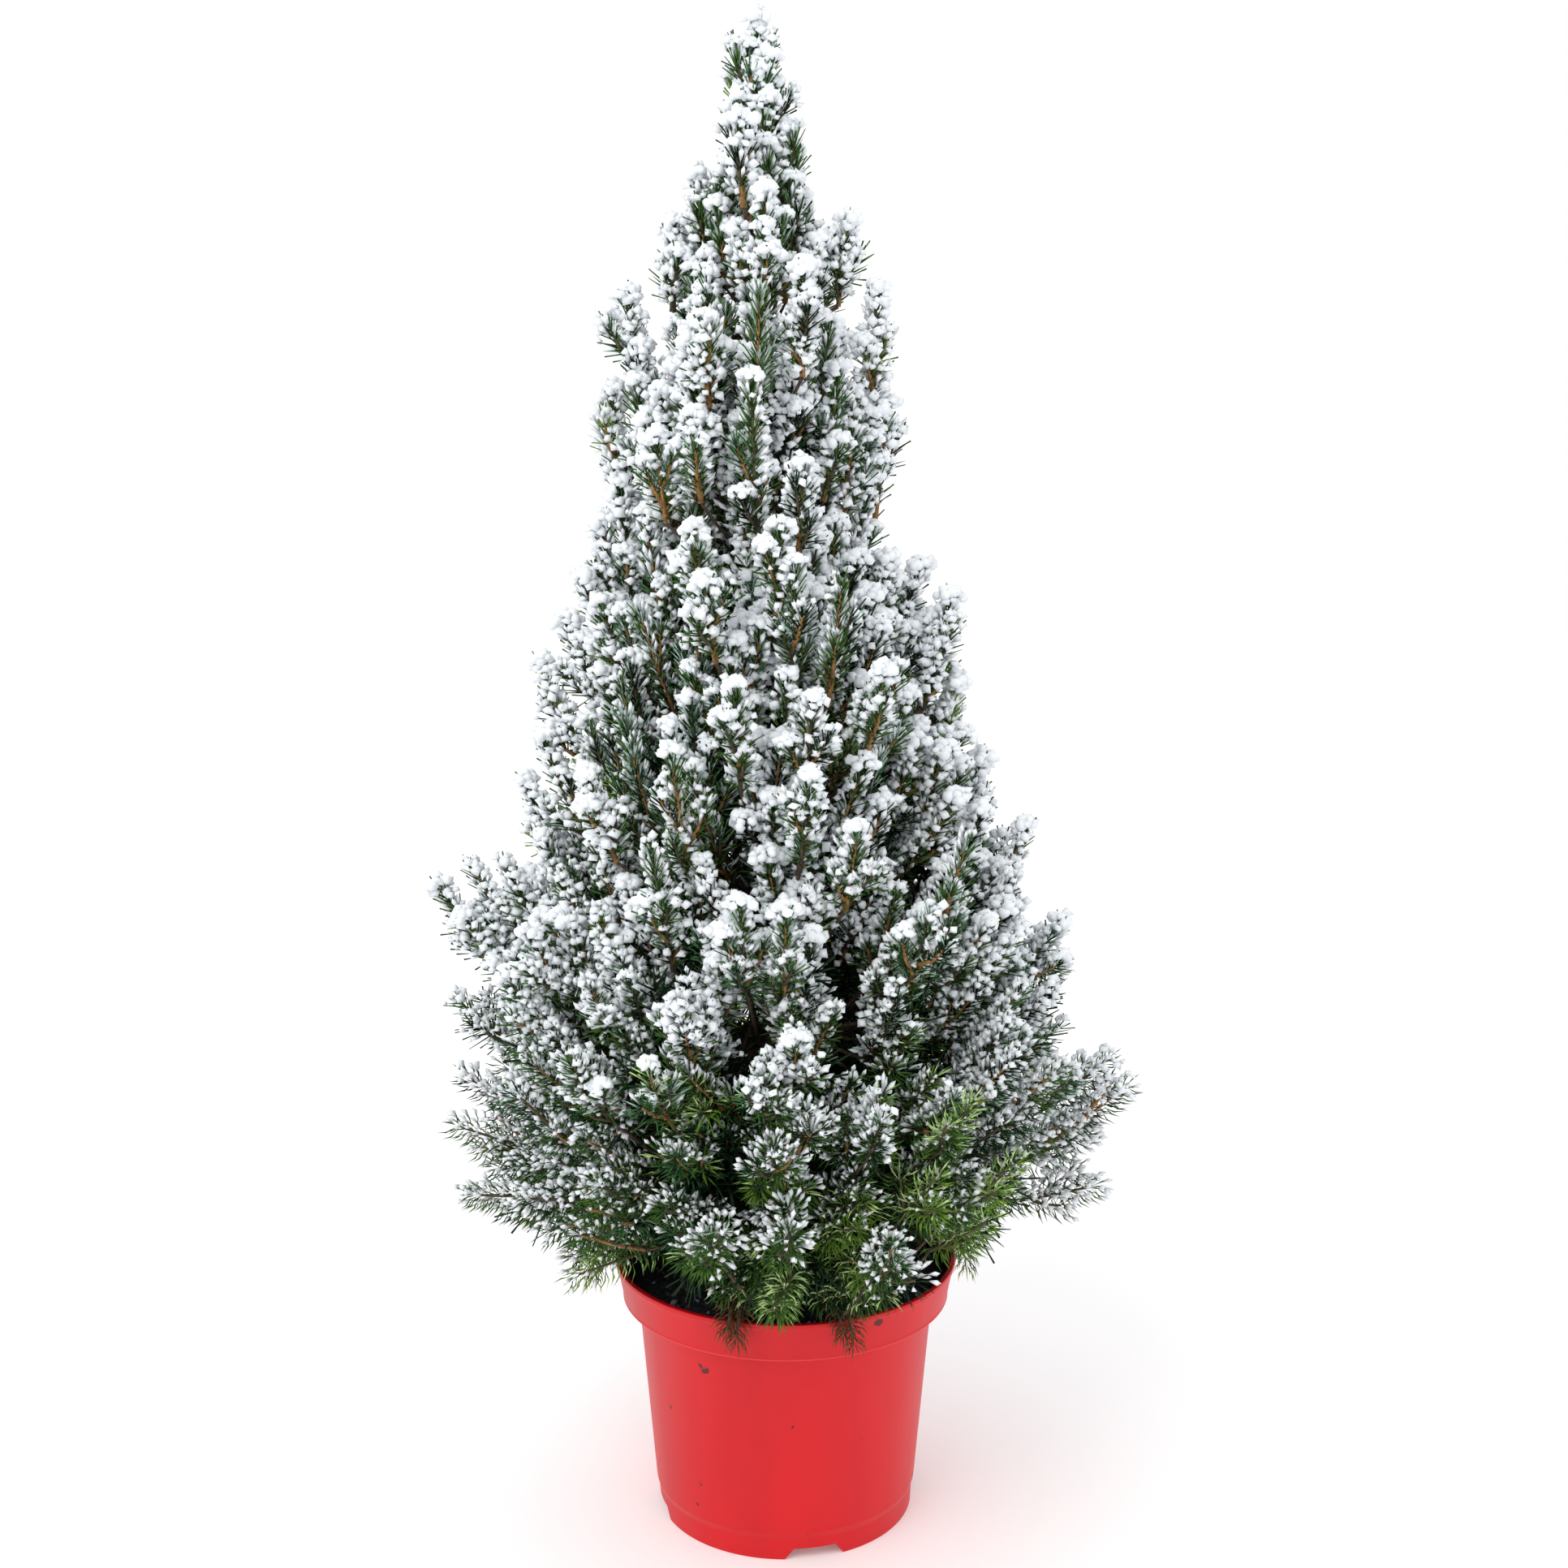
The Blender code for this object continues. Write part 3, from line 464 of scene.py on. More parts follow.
def crown_point(level, turn, out):
    """The point at a level, a turn in degrees and a share of the way out."""
    radius = growth_line(level)[2] * out
    return around(turn, line_height(level, radius), radius)


def around(turn, height, radius):
    """The point at a turn, a height and a radius from the trunk's axis."""
    angle = np.radians(turn)
    x = lean_at(height) + radius * np.cos(angle)
    return np.stack(np.broadcast_arrays(x, radius * np.sin(angle), height), axis=-1)


def outward_at(point):
    """The level direction away from the trunk's axis."""
    flat = np.array(point, float)
    flat[..., 0] -= lean_at(flat[..., 2])
    flat[..., 2] = 0.0
    return unit(flat)


def radius_at(point):
    return math.hypot(point[0] - lean_at(point[2]), point[1])


def by_side(rows, place, point):
    """The value of a table of left and right values at a place, for a point's turn."""
    places, left, right = rows
    share = (1 + outward_at(point)[0]) / 2
    return lerp(np.interp(place, places, left), np.interp(place, places, right), share)


def habit(point):
    """The direction that shoots turn to at a place in the crown."""
    return unit(outward_at(point) + UP * np.interp(point[2], RISE_HEIGHTS, RISES))


def fits(end, heading, depth=0.0):
    """Whether a shoot that ends here has its needles' tips a depth inside the outline."""
    lean = NEEDLE_LEAN * (0.85 + 0.15 * math.hypot(heading[0], heading[1]))
    return radius_at(end) + lean + depth <= by_side(OUTLINE, end[2], end)


def trunk_radius(height):
    """Taper from the foot to the tip, and the root flare."""
    share = min(1.0, (height - TRUNK_FOOT) / (TRUNK_TIP - TRUNK_FOOT))
    flare = FLARE * math.exp(-(height - TRUNK_FOOT) / FLARE_HEIGHT)
    return lerp(TRUNK_RADIUS, TRUNK_TIP_RADIUS, share) + flare


# Growth


# The space of one mass: its tier, its number there, and its turn and half its width in degrees
Block = namedtuple("Block", "tier number turn half_width")


def all_blocks():
    for tier, (first, count) in enumerate(TIERS):
        for k in range(count):
            yield Block(tier, k, first + 360 / count * k, 180 / count)


class Growth:
    """What has grown so far: twigs as paths, and needled shoots as curves of three points."""

    def __init__(self):
        self.twigs = []
        self.shoots = []
        self.ends = np.empty((0, 3))

    def add_shoot(
        self, begin, heading, final, length, snow, kind, size=1.0, step=1.0, stand=False, capped=True
    ):
        """A shoot that leaves in one direction and ends in another, unless its end has no room."""
        while length > SHORTEST_SHOOT and not stand:
            if fits(begin + (heading + final) * length / 2, final):
                break
            length *= 0.9
        middle = begin + heading * length / 2
        end = middle + final * length / 2
        crowded = len(self.ends) and np.min(np.linalg.norm(self.ends - end, axis=1)) < SHOOT_SPACE
        if length <= SHORTEST_SHOOT or (not stand and (crowded or out_of_place(end))):
            return
        self.ends = np.vstack([self.ends, end])
        self.shoots.append((begin, middle, end, snow, kind, size, step, capped))


def turn_between(first, second):
    """Degrees from one turn to another, between half a turn back and half a turn on."""
    return (second - first + 180) % 360 - 180


def standouts_in(block):
    """The named tips of this block."""
    found = []
    for turn, height, reach in STANDOUTS:
        low, high = line_height(block.tier, reach), line_height(block.tier + 1, reach)
        if abs(turn_between(block.turn, turn)) < block.half_width and low < height < high:
            found.append((around(turn, height, reach - NEEDLE_LEAN * 0.8), turn, True))
    return found


def pattern_tip(block, number):
    """The level and turn of the next tip of an even pattern over the block's face."""
    across, up = ((0.5 + number * step) % 1 - 0.5 for step in EVEN_STEPS)
    return block.tier + 0.5 + up * 0.96, block.turn + 2 * block.half_width * across * 0.98


def stray(rng, most):
    return np.array([rng.uniform(-most, most) for _ in range(3)])


def shell_point(level, turn, depth):
    """Where a growth line comes to within a depth of the outline."""
    reach = growth_line(level)[2]
    for radius in np.linspace(reach, 0.2 * reach, 81):
        tip = around(turn, line_height(level, radius), radius)
        if fits(tip, habit(tip), depth):
            return tip
    return tip


def bare_at(point):
    """How near a place is to the middle of the low front, where snow is scarce."""
    if point[1] >= BARE_FRONT:
        return 0.0
    across = math.exp(-(((point[0] - BARE_MIDDLE) / BARE_WIDTH) ** 2))
    return across * np.interp(point[2], BARE_HEIGHTS, (1.0, 0.0))


def sparse_at(point):
    """How near a place is to one of those with little snow."""
    turn = math.degrees(math.atan2(point[1], point[0] - lean_at(point[2])))
    near = 0.0
    for middle, height, wide, high in SPARSE:
        off = turn_between(middle, turn)
        near = max(near, math.exp(-((off / wide) ** 2) - ((point[2] - height) / high) ** 2))
    return near


def snow_at(point, rng):
    """How much snow a shoot carries: heavy in the upper crown, light low in the front."""
    bare = bare_at(point)
    amount = np.interp(point[2], *SNOW_LOAD) * (1 - 0.95 * bare) * (1 - SPARSE_SHARE * sparse_at(point))
    if bare > 0.4:
        return 0.65 if rng.random() < 0.10 else amount + 0.08
    drift = noise.noise(Vector(point) / DRIFT_SIZE) * np.interp(point[2], LOW_HEIGHTS, DRIFT)
    return np.clip(amount + drift + rng.uniform(-0.24, 0.12), 0.0, 1.0)


def kind_at(point, snow, rng):
    """The needles' colour, dealt out by spray."""
    place = "snowy" if snow >= 0.4 else "low" if point[2] < 0.32 else "high"
    return rng.choices((DEEP, MID, FRESH, BLUE), KIND_WEIGHTS[place])[0]


def out_of_place(point):
    """Whether a shoot that ends here would hang below the skirt, or into the gaps in its front."""
    if point[2] < by_side(SKIRT, radius_at(point), point) + SKIRT_FRONT * max(0.0, -outward_at(point)[1]):
        return True
    for across, depths in SOIL_GAPS:
        back = np.interp(point[0], across, depths, left=-1.0, right=-1.0)
        if point[1] < back + SOIL_CLEAR and point[2] < SOIL_TOP + SOIL_CLEAR + SOIL_SIGHT * (back - point[1]):
            return True
    return False


def grow_shoots(growth, tip, root, rng, stand, snow, length=None, kind=None, final=None):
    """A shoot that ends at a tip, the shoots that leave it on its sides, and the twig it stands on."""
    if out_of_place(tip):
        return
    height = tip[2]
    if length is None:
        length = np.interp(height, SHOOT_HEIGHTS, SHOOT_LENGTHS) * rng.uniform(0.85, 1.15)
    club = stand and height > 0.55
    if final is None:
        final = unit(habit(tip) + UP * (3.0 if club else 0.0) + stray(rng, 0.15))
    bow = 0.0 if club else np.interp(height, BOW_HEIGHTS, BOWS)
    heading = unit(final + outward_at(tip) * bow + stray(rng, 0.08))
    begin = tip - final * length / 2 - heading * length / 2
    if kind is None:
        kind = kind_at(tip, snow, rng)
    share = np.linspace(0, 1, TWIG_POINTS)[:, None]
    twig = curve(root, lerp(root, begin, 0.6) - UP * 0.004, begin, share)
    if not stand and out_of_place(twig[-2]) and radius_at(twig[-2]) > 0.05:
        return
    growth.twigs.append(twig)
    growth.add_shoot(begin, heading, final, length, snow, kind, stand=True)
    turn = rng.uniform(0, 360)
    sides = round(np.interp(height, *SIDE_SHOOTS))
    for number in range(sides):
        share = lerp(0.04, 0.50, (number + rng.uniform(0, 0.6)) / sides)
        start = begin + heading * length * share
        turn += SIDE_TURN
        across = turned_by(*across_of(heading), math.radians(turn))
        leave = unit(turned_by(heading, across, math.radians(rng.uniform(*SIDE_ANGLE))))
        ending = unit(leave * 0.3 + final * 0.8 + stray(rng, 0.12))
        size = rng.uniform(*SIDE_LENGTH) * np.interp(height, *SIDE_SIZES)
        own = max(0.0, snow + rng.uniform(-0.2, 0.05))
        capped = rng.random() < SIDE_CAPPED
        own_kind = kind_at(start, own, rng)
        growth.add_shoot(start, leave, ending, size, own, own_kind, stand=stand, capped=capped)


def across_of(heading):
    """Two directions across a heading."""
    side = unit(np.cross(heading, UP if abs(heading[2]) < 0.9 else ACROSS))
    return side, np.cross(heading, side)


def fill_shoots(growth, block, rng):
    """Shoots inside a mass, behind those that show, all in the deep green as painted shade for the crown's
    dark inside.
    """
    for _ in range(FILL_SHOOTS[block.tier]):
        level = block.tier + 0.5 + rng.uniform(-0.5, 0.5)
        turn = block.turn + rng.uniform(-1, 1) * block.half_width
        depth = rng.uniform(*FILL_SHARE) * growth_line(level)[2]
        tip = shell_point(level, turn, 0.016 + 0.7 * depth)
        final = unit(habit(tip) + stray(rng, 0.35))
        if not out_of_place(tip):
            begin = tip - final * FILL_LENGTH
            # The deep green here is painted shade for the inside of the crown
            growth.add_shoot(begin, final, final, FILL_LENGTH, 0.10, DEEP, FILL_SIZE, FILL_STEP)


def grow_mass(growth, block, rng):
    """One mass: twigs to its tips, and their shoots; its stem is built with the bark."""
    mid = block.tier + 0.5
    tips = standouts_in(block)
    for number in range(TIPS[block.tier]):
        level, turn = pattern_tip(block, number)
        depth = np.interp(growth_line(level)[1], *SHELL_DEPTH) * rng.uniform(0, 1)
        tips.append((shell_point(level, turn, depth), turn, False))
    for number, (tip, turn, stand) in enumerate(tips):
        out = lerp(*TWIG_ROOTS, (number % 6) / 6) * radius_at(tip) / growth_line(mid)[2]
        root = crown_point(mid, lerp(block.turn, turn, 0.4), out)
        snow = snow_at(tip, rng)
        if stand and tip[2] > 0.38:
            snow = 1.12
        elif stand and tip[0] > 0:
            snow = max(snow, 0.9)
        elif block.tier < 3:
            span = [line_height(block.tier + k, radius_at(tip)) for k in (0, 1)]
            snow *= np.interp(tip[2], span, LAYERED)
        grow_shoots(growth, tip, root, rng, stand, snow)
    fill_shoots(growth, block, rng)


def grow_leader(growth, rng):
    """The spire: the leading shoot and the shoots round its foot."""
    foot = np.array((lean_at(TRUNK_TIP), 0.0, TRUNK_TIP + GAP))
    top = np.array((lean_at(TOTAL_HEIGHT), 0.0, TOTAL_HEIGHT - NEEDLE_LEAN * 0.6))
    begin = lerp(foot, top, LEADER_SPRAY)
    heading = unit(top - foot)
    half = np.linalg.norm(top - begin) / 2
    growth.add_shoot(begin, heading, heading, half, 0.85, MID, stand=True)
    growth.add_shoot(lerp(begin, top, 0.5), heading, heading, half, 1.0, MID, stand=True)
    over = [row for row in STANDOUTS if row[1] > line_height(len(TIERS), row[2]) + 0.0015]
    for turn, height, reach, size in [row + (STANDOUT_LENGTH,) for row in over] + LEADER_SHOOTS:
        tip = around(turn, height, reach)
        final = unit(habit(tip) + UP * 0.5 + stray(rng, 0.15))
        rise = height - size - reach * 0.8
        share = np.clip((rise - foot[2]) / (top[2] - foot[2]), 0.02, 1)
        snow = 1.0 if reach > 0.03 and size == STANDOUT_LENGTH else rng.uniform(0.52, 0.86)
        grow_shoots(growth, tip, lerp(foot, top, share), rng, True, snow, size, MID, final)


def grow_front(growth, rng):
    """The named shoots in the front, each on a twig from inside the crown."""
    for turn, height, reach, length, snow in FRONT_SHOOTS:
        tip = around(turn, height, reach)
        final = unit(habit(tip) + UP * 0.35)
        root = around(turn, height - length - 0.3 * reach, 0.35 * reach)
        kind = FRESH if snow < 0.2 else MID
        grow_shoots(growth, tip, root, rng, True, snow, length, kind, final)
    for rows, kind, needle in ((WITHERED, BROWN, 0.8), (HANGING, MID, 1.0)):
        for turn, height, reach in rows:
            begin = around(turn, POT_HEIGHT + RIM_CLEAR * 0.7, reach - RIM_SPAN)
            middle = around(turn, POT_HEIGHT + RIM_CLEAR, reach)
            growth.shoots.append((begin, middle, around(turn, height, reach), 0.1, kind, needle, 1.0, False))


def grow():
    growth = Growth()
    grow_front(growth, random.Random(f"{SEED}-front"))
    grow_leader(growth, random.Random(f"{SEED}-foliage_leader"))
    for block in all_blocks():
        grow_mass(growth, block, random.Random(f"{SEED}-foliage_{block.tier + 1}_{block.number + 1}-0"))
    return growth


# Needles and snow


class Sprays:
    """Every shoot's curve as arrays."""

    def __init__(self, shoots, rng):
        columns = [np.array(column) for column in zip(*shoots)]
        self.begin, self.middle, self.end, self.cap, self.kind, self.size, self.step, self.capped = columns
        count = len(shoots)
        self.height = self.end[:, 2]
        self.snow = self.cap * (1 - SPARSE_COATS * np.array([sparse_at(end) for end in self.end]))
        self.length = np.linalg.norm(self.middle - self.begin, axis=1)
        self.length += np.linalg.norm(self.end - self.middle, axis=1)
        self.fill = self.step > FILL_STEP / 2
        lean = rng.uniform(*SKY_OUT, count)[:, None]
        chance = np.interp(self.height, FUSED_HEIGHTS, (0.0, 1.0))
        chance *= np.array([bare_at(end) < 0.4 for end in self.end])
        self.fused = (self.cap > 0.40) & (rng.uniform(0, 1, count) < chance)
        self.sky = unit(UP + lean * outward_at(self.end) + rng.normal(0, 0.25, (count, 3)))

    def along(self, index, share):
        """Points and tangents at a share of the way along the shoots of an index."""
        begin, middle, end = self.begin[index], self.middle[index], self.end[index]
        s = share[:, None]
        return curve(begin, middle, end, s), unit((middle - begin) * (1 - s) + (end - middle) * s)

    def frames(self, index, tangents):
        """Two directions across each tangent, the first one on the snow's side."""
        over = unit(without(self.sky[index], tangents))
        return over, np.cross(tangents, over)


class Needles:
    """Every needle of the sprays: where it stands, its direction, size and share of snow."""

    def __init__(self, sprays, rng):
        low = np.interp(sprays.height, LOW_HEIGHTS, (1.0, 0.0))
        step = NEEDLE_STEP * sprays.step * lerp(1.0, LOW_CLOSER, low)
        counts = np.maximum(12, sprays.length / step).astype(int)
        shoot = np.repeat(np.arange(len(counts)), counts)
        number = np.concatenate([np.arange(n) for n in counts])
        share = np.clip((number + rng.uniform(0, 1, len(number))) / counts[shoot], 0, 1) ** 0.9
        angle = number * GOLDEN_TURN + rng.uniform(0, 2 * np.pi, len(counts))[shoot]
        angle += rng.normal(0, 0.12, len(number))
        kept = np.cos(angle) + 0.8 * share > PARTED[0]
        kept |= rng.random(len(number)) > PARTED[1]
        kept |= sprays.fill[shoot]
        shoot, self.share, angle = shoot[kept], share[kept], angle[kept]
        self.low = low[shoot]
        for name in ("kind", "snow", "fused", "fill"):
            setattr(self, name, getattr(sprays, name)[shoot])
        self.place(sprays, shoot, angle, rng)
        swell = 0.74 + 0.36 * np.sin(np.pi * (0.10 + 0.78 * self.share))
        self.length = NEEDLE_LENGTH * swell * lerp(1.0, LOW_LONGER, self.low) * sprays.size[shoot]
        self.length *= rng.uniform(0.86, 1.1, len(shoot))
        self.width = NEEDLE_WIDTH * lerp(1.0, LOW_NARROWER, self.low) * sprays.size[shoot]
        self.width *= rng.uniform(0.88, 1.12, len(shoot))

    def place(self, sprays, shoot, angle, rng):
        """Foot, direction and exposure of each needle at its angle from the snow's side."""
        points, tangents = sprays.along(shoot, self.share)
        outward = turned_by(*sprays.frames(shoot, tangents), angle[:, None])
        off = lerp(*NEEDLE_ANGLES, self.share**1.7) + LOW_SPREAD * self.low
        off -= np.interp(sprays.height, SPIRE_HEIGHTS, (0.0, SPIRE_CLOSER))[shoot]
        off = np.radians(off + rng.normal(0, 7, len(angle)))
        sky = sprays.sky[shoot]
        direction = turned_by(tangents, outward, off[:, None]) + sky * (0.10 * (1 - self.low))[:, None]
        self.direction = unit(direction - UP * (LOW_DROOP * self.low)[:, None])
        self.outward = unit(without(outward, self.direction))
        self.side = np.cross(self.direction, self.outward)
        self.base = points + outward * 0.0004
        self.exposure = np.cos(angle) * 0.75 + 0.35 * np.sum(self.direction * sky, axis=1)
        self.exposure += 0.75 * self.share**2

    def at(self, chosen, share):
        """Points on the bent axes of chosen needles, at a share of their length."""
        share = np.broadcast_to(share, chosen.shape)[:, None]
        bend = NEEDLE_BEND * (1 + self.low[chosen])[:, None] * 4 * share * (1 - share)
        along = self.direction[chosen] * share + self.outward[chosen] * bend
        return self.base[chosen] + along * self.length[chosen][:, None]

    def across(self, chosen, angle):
        """The direction across each chosen needle at an angle round it."""
        return turned_by(self.outward[chosen], self.side[chosen], angle[:, None])

    def spindles(self, chosen, shares, radius, rng):
        """Closed shapes of six triangles: a foot, three points round a middle, and a tip."""
        foot, middle, tip = (self.at(chosen, share) for share in shares)
        roll = rng.uniform(0, 2 * np.pi, len(chosen))
        turns = [roll + 2 * np.pi * k / 3 for k in range(3)]
        ring = [middle + self.across(chosen, turn) * radius[:, None] for turn in turns]
        return np.stack([foot, *ring, tip], axis=1)


def needle_shapes(needles, chosen, rng):
    """Closed blunt needles of four triangles: an edge at the foot, and one across it at the tip."""
    roll = rng.uniform(0, 2 * np.pi, len(chosen))
    across = needles.across(chosen, roll) * needles.width[chosen][:, None] / 2
    over = np.cross(needles.direction[chosen], across) * 0.8
    foot, tip = needles.at(chosen, 0.0), needles.at(chosen, 1.0)
    return np.stack([foot - across, foot + across, tip - over, tip + over], axis=1)


NEEDLE_TRIANGLES = ((0, 1, 2), (0, 3, 1), (0, 2, 3), (1, 3, 2))


def bent_shapes(needles, chosen, rng):
    """Closed bent needles of six triangles."""
    return needles.spindles(chosen, (0.0, 0.56, 1.0), needles.width[chosen] * 0.52, rng)


def coat_shapes(needles, chosen, wrapped, rng):
    """Snow on single needles: closed drops, thickest near the needle's tip."""
    count = len(chosen)
    low = needles.low[chosen]
    start = np.where(wrapped, 0.05, rng.uniform(0.20, 0.50, count) + 0.15 * low)
    radius = rng.uniform(*COAT_RADIUS, count) * (0.75 + 0.35 * needles.snow[chosen]) * lerp(1.0, 1.05, low)
    return needles.spindles(chosen, (start, lerp(start, 1.0, 0.74), 1.05), radius, rng) + UP * 0.0003


SPINDLE_TRIANGLES = ((0, 2, 1), (0, 3, 2), (0, 1, 3), (4, 1, 2), (4, 2, 3), (4, 3, 1))


def knob_shapes(needles, chosen, rng):
    """Clumps of snow on the needles' outer parts, which their tips pierce."""
    radii = rng.uniform(*KNOB_RADIUS, len(chosen)) * (0.70 + 0.35 * needles.snow[chosen])
    radii *= lerp(1.0, 0.84, needles.low[chosen])
    centres = needles.at(chosen, rng.uniform(0.48, 0.92, len(chosen))) + UP * radii[:, None] * 0.3
    return lump_shapes(centres, radii, rng, OCTAHEDRON)


OCTAHEDRON = (
    np.array([(1, 0, 0), (-1, 0, 0), (0, 1, 0), (0, -1, 0), (0, 0, 1), (0, 0, -1)], float),
    np.array([(0, 2, 4), (2, 1, 4), (1, 3, 4), (3, 0, 4), (2, 0, 5), (1, 2, 5), (3, 1, 5), (0, 3, 5)]),
)


def ball():
    """Points and triangles of an icosahedron of radius one."""
    bm = bmesh.new()
    bmesh.ops.create_icosphere(bm, subdivisions=1, radius=1.0)
    points = np.array([v.co[:] for v in bm.verts])
    triangles = np.array([[v.index for v in face.verts] for face in bm.faces])
    bm.free()
    return points, triangles


def turned_at_random(count, rng):
    """Random rotation matrices."""
    w, x, y, z = unit(rng.normal(size=(count, 4))).T
    rows = [
        [1 - 2 * (y * y + z * z), 2 * (x * y - z * w), 2 * (x * z + y * w)],
        [2 * (x * y + z * w), 1 - 2 * (x * x + z * z), 2 * (y * z - x * w)],
        [2 * (x * z - y * w), 2 * (y * z + x * w), 1 - 2 * (x * x + y * y)],
    ]
    return np.array(rows).transpose(2, 0, 1)


def lump_shapes(centres, radii, rng, solid, rough=0.20):
    """Uneven round lumps, each a little flatter than it is wide."""
    points, triangles = solid
    count = len(centres)
    swell = 1 + rng.uniform(-rough, rough, (count, len(points), 1))
    shapes = np.einsum("nij,kj->nki", turned_at_random(count, rng), points) * swell
    stretch = np.stack([rng.uniform(*span, count) for span in LUMP_STRETCH], axis=1)
    return centres[:, None] + shapes * stretch[:, None] * radii[:, None, None], triangles


def cap_shapes(sprays, rng):
    """Domes of lumps on the tips of snowy shoots."""
    high = rng.random(len(sprays.snow)) < np.interp(sprays.height, CAP_HEIGHTS, (0.0, 1.0))
    capped = np.flatnonzero(sprays.fused & sprays.capped & high & (sprays.cap > 0.5))
    index = np.repeat(capped, CAP_LUMPS)
    count = len(index)
    cap = sprays.cap[index]
    _, tangents = sprays.along(index, np.ones(count))
    axis = unit(tangents + sprays.sky[index] * 0.8)
    dome = np.repeat(rng.uniform(*CAP_RADIUS, len(capped)), CAP_LUMPS) * (0.4 + 0.6 * cap)
    number = np.tile(np.arange(CAP_LUMPS), len(capped))
    out = np.sqrt((number + rng.uniform(0, 1, count)) / CAP_LUMPS)
    angle = number * GOLDEN_TURN + rng.normal(0, 0.3, count)
    side = unit(np.cross(axis, ACROSS))
    level = turned_by(side, np.cross(axis, side), angle[:, None])
    rise = CAP_RISE - 0.75 * dome * out**2 + rng.uniform(-0.0008, 0.0008, count)
    centres = sprays.end[index] + axis * rise[:, None] + level * (dome * out)[:, None]
    radii = rng.uniform(*CAP_LUMP_RADIUS, count) * (0.65 + 0.4 * cap)
    return lump_shapes(centres, radii, rng, ball())


def ridge_shapes(sprays, rng):
    """Snow caught between the needles along the upper side of low snowy shoots."""
    ridged = np.flatnonzero(sprays.fused & (sprays.snow > 0.45) & (sprays.height < LOW_HEIGHTS[1]))
    index = np.repeat(ridged, RIDGE_LUMPS)
    count = len(index)
    points, tangents = sprays.along(index, rng.uniform(*RIDGE_SHARE, count))
    away = turned_by(*sprays.frames(index, tangents), rng.normal(0, 0.7, count)[:, None])
    centres = points + away * rng.uniform(*RIDGE_OFF, count)[:, None]
    radii = rng.uniform(*RIDGE_RADIUS, count) * (0.4 + 0.6 * sprays.snow[index])
    return lump_shapes(centres, radii, rng, OCTAHEDRON)


def deal_snow(needles, rng):
    """Which needles are coated, which carry a knob, and which are only dusted or lit."""
    count = len(needles.share)
    threshold = lerp(1.50, -0.05, needles.snow) - np.where(needles.fused, 0.0, 0.15)
    over = needles.exposure + rng.normal(0, 0.18, count) - threshold
    coated = (over > 0) & (needles.snow > 0.12) & ~needles.fill
    chance = KNOB_SHARE * (1 - 0.45 * needles.low)
    knobbed = coated & needles.fused & (over > 0.12) & (rng.random(count) < chance)
    chance = rng.random(count)
    upper = ~coated & (needles.kind != BROWN) & ~needles.fill & (needles.exposure > 0.10)
    snowy = needles.snow > 0.35
    needles.kind[upper & snowy & (chance < lerp(*DUSTED_SHARE, needles.low))] = DUSTED
    # Painted highlight: upper needles of shoots with little snow are made lighter, lit green low in the crown
    # and the pale dusted colour high up
    lit = upper & ~snowy & (chance < LIT_SHARE)
    needles.kind[lit] = np.where(needles.low[lit] > 0.2, LIT, DUSTED)
    return coated & ~knobbed, knobbed


def build_crown(growth, finishes):
    """Needles by colour, and the snow on them."""
    rng = np.random.default_rng(SEED)
    sprays = Sprays(growth.shoots, rng)
    needles = Needles(sprays, rng)
    coated, knobbed = deal_snow(needles, rng)
    wrapped = coated & (needles.low < 0.5) & (rng.random(len(coated)) < WRAPPED_SHARE)
    bent = (needles.low > 0.5) & ~needles.fill
    habits = (("", ~bent, needle_shapes, NEEDLE_TRIANGLES), ("_bent", bent, bent_shapes, SPINDLE_TRIANGLES))
    for number, kind in enumerate(KINDS):
        for label, habit_of, shape, pattern in habits:
            chosen = np.flatnonzero((needles.kind == number) & habit_of & ~wrapped)
            if not len(chosen):
                continue
            shapes = shape(needles, chosen, rng)
            made = add_pieces(f"needles_{kind}{label}", shapes, pattern, finishes[kind], "snowy_needles")
            if (kind, label) == ("mid", ""):
                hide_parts(*nodes_of("foliage"))
    chosen = np.flatnonzero(coated)
    coats = coat_shapes(needles, chosen, wrapped[chosen], rng)
    snow = {
        "snow_on_needles": (coats, SPINDLE_TRIANGLES),
        "snow_knobs": knob_shapes(needles, np.flatnonzero(knobbed), rng),
        "snow_caps": cap_shapes(sprays, rng),
        "snow_ridges": ridge_shapes(sprays, rng),
    }
    for name, (shapes, pattern) in snow.items():
        add_pieces(name, shapes, pattern, finishes["snow"], "snowy_needles")
    return sprays


def nodes_of(start):
    return [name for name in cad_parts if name.startswith(start)]


def build_twigs(growth, sprays, finishes):
    """The bare twigs, and the stems of the needled shoots."""
    rng = np.random.default_rng(SEED + 1)
    paths = np.array(growth.twigs)
    radii = np.linspace(*TWIG_RADIUS, TWIG_POINTS) * rng.uniform(0.85, 1.15, (len(paths), TWIG_POINTS))
    add_pieces("twigs_old", *tube_shapes(paths, radii, TWIG_SIDES), finishes["old_twig"], "bark")
    shown = np.flatnonzero(~sprays.fill)
    count = len(shown)
    shares = np.tile(np.linspace(0, STEM_SHARE_SHOWN, STEM_RINGS), count)
    points, _ = sprays.along(np.repeat(shown, STEM_RINGS), shares)
    radii = np.linspace(*STEM_RADIUS, STEM_RINGS) * rng.uniform(0.8, 1.2, (count, STEM_RINGS))
    shapes, triangles = tube_shapes(points.reshape(count, STEM_RINGS, 3), radii, TWIG_SIDES)
    bright = rng.random(count) < np.interp(sprays.height[shown], LOW_HEIGHTS, STEM_BRIGHT)
    for name, chosen in (("young_twig", bright), ("shaded_twig", ~bright)):
        add_pieces(f"{name}s", shapes[chosen], triangles, finishes[name], "bark")


# Trunk and boughs


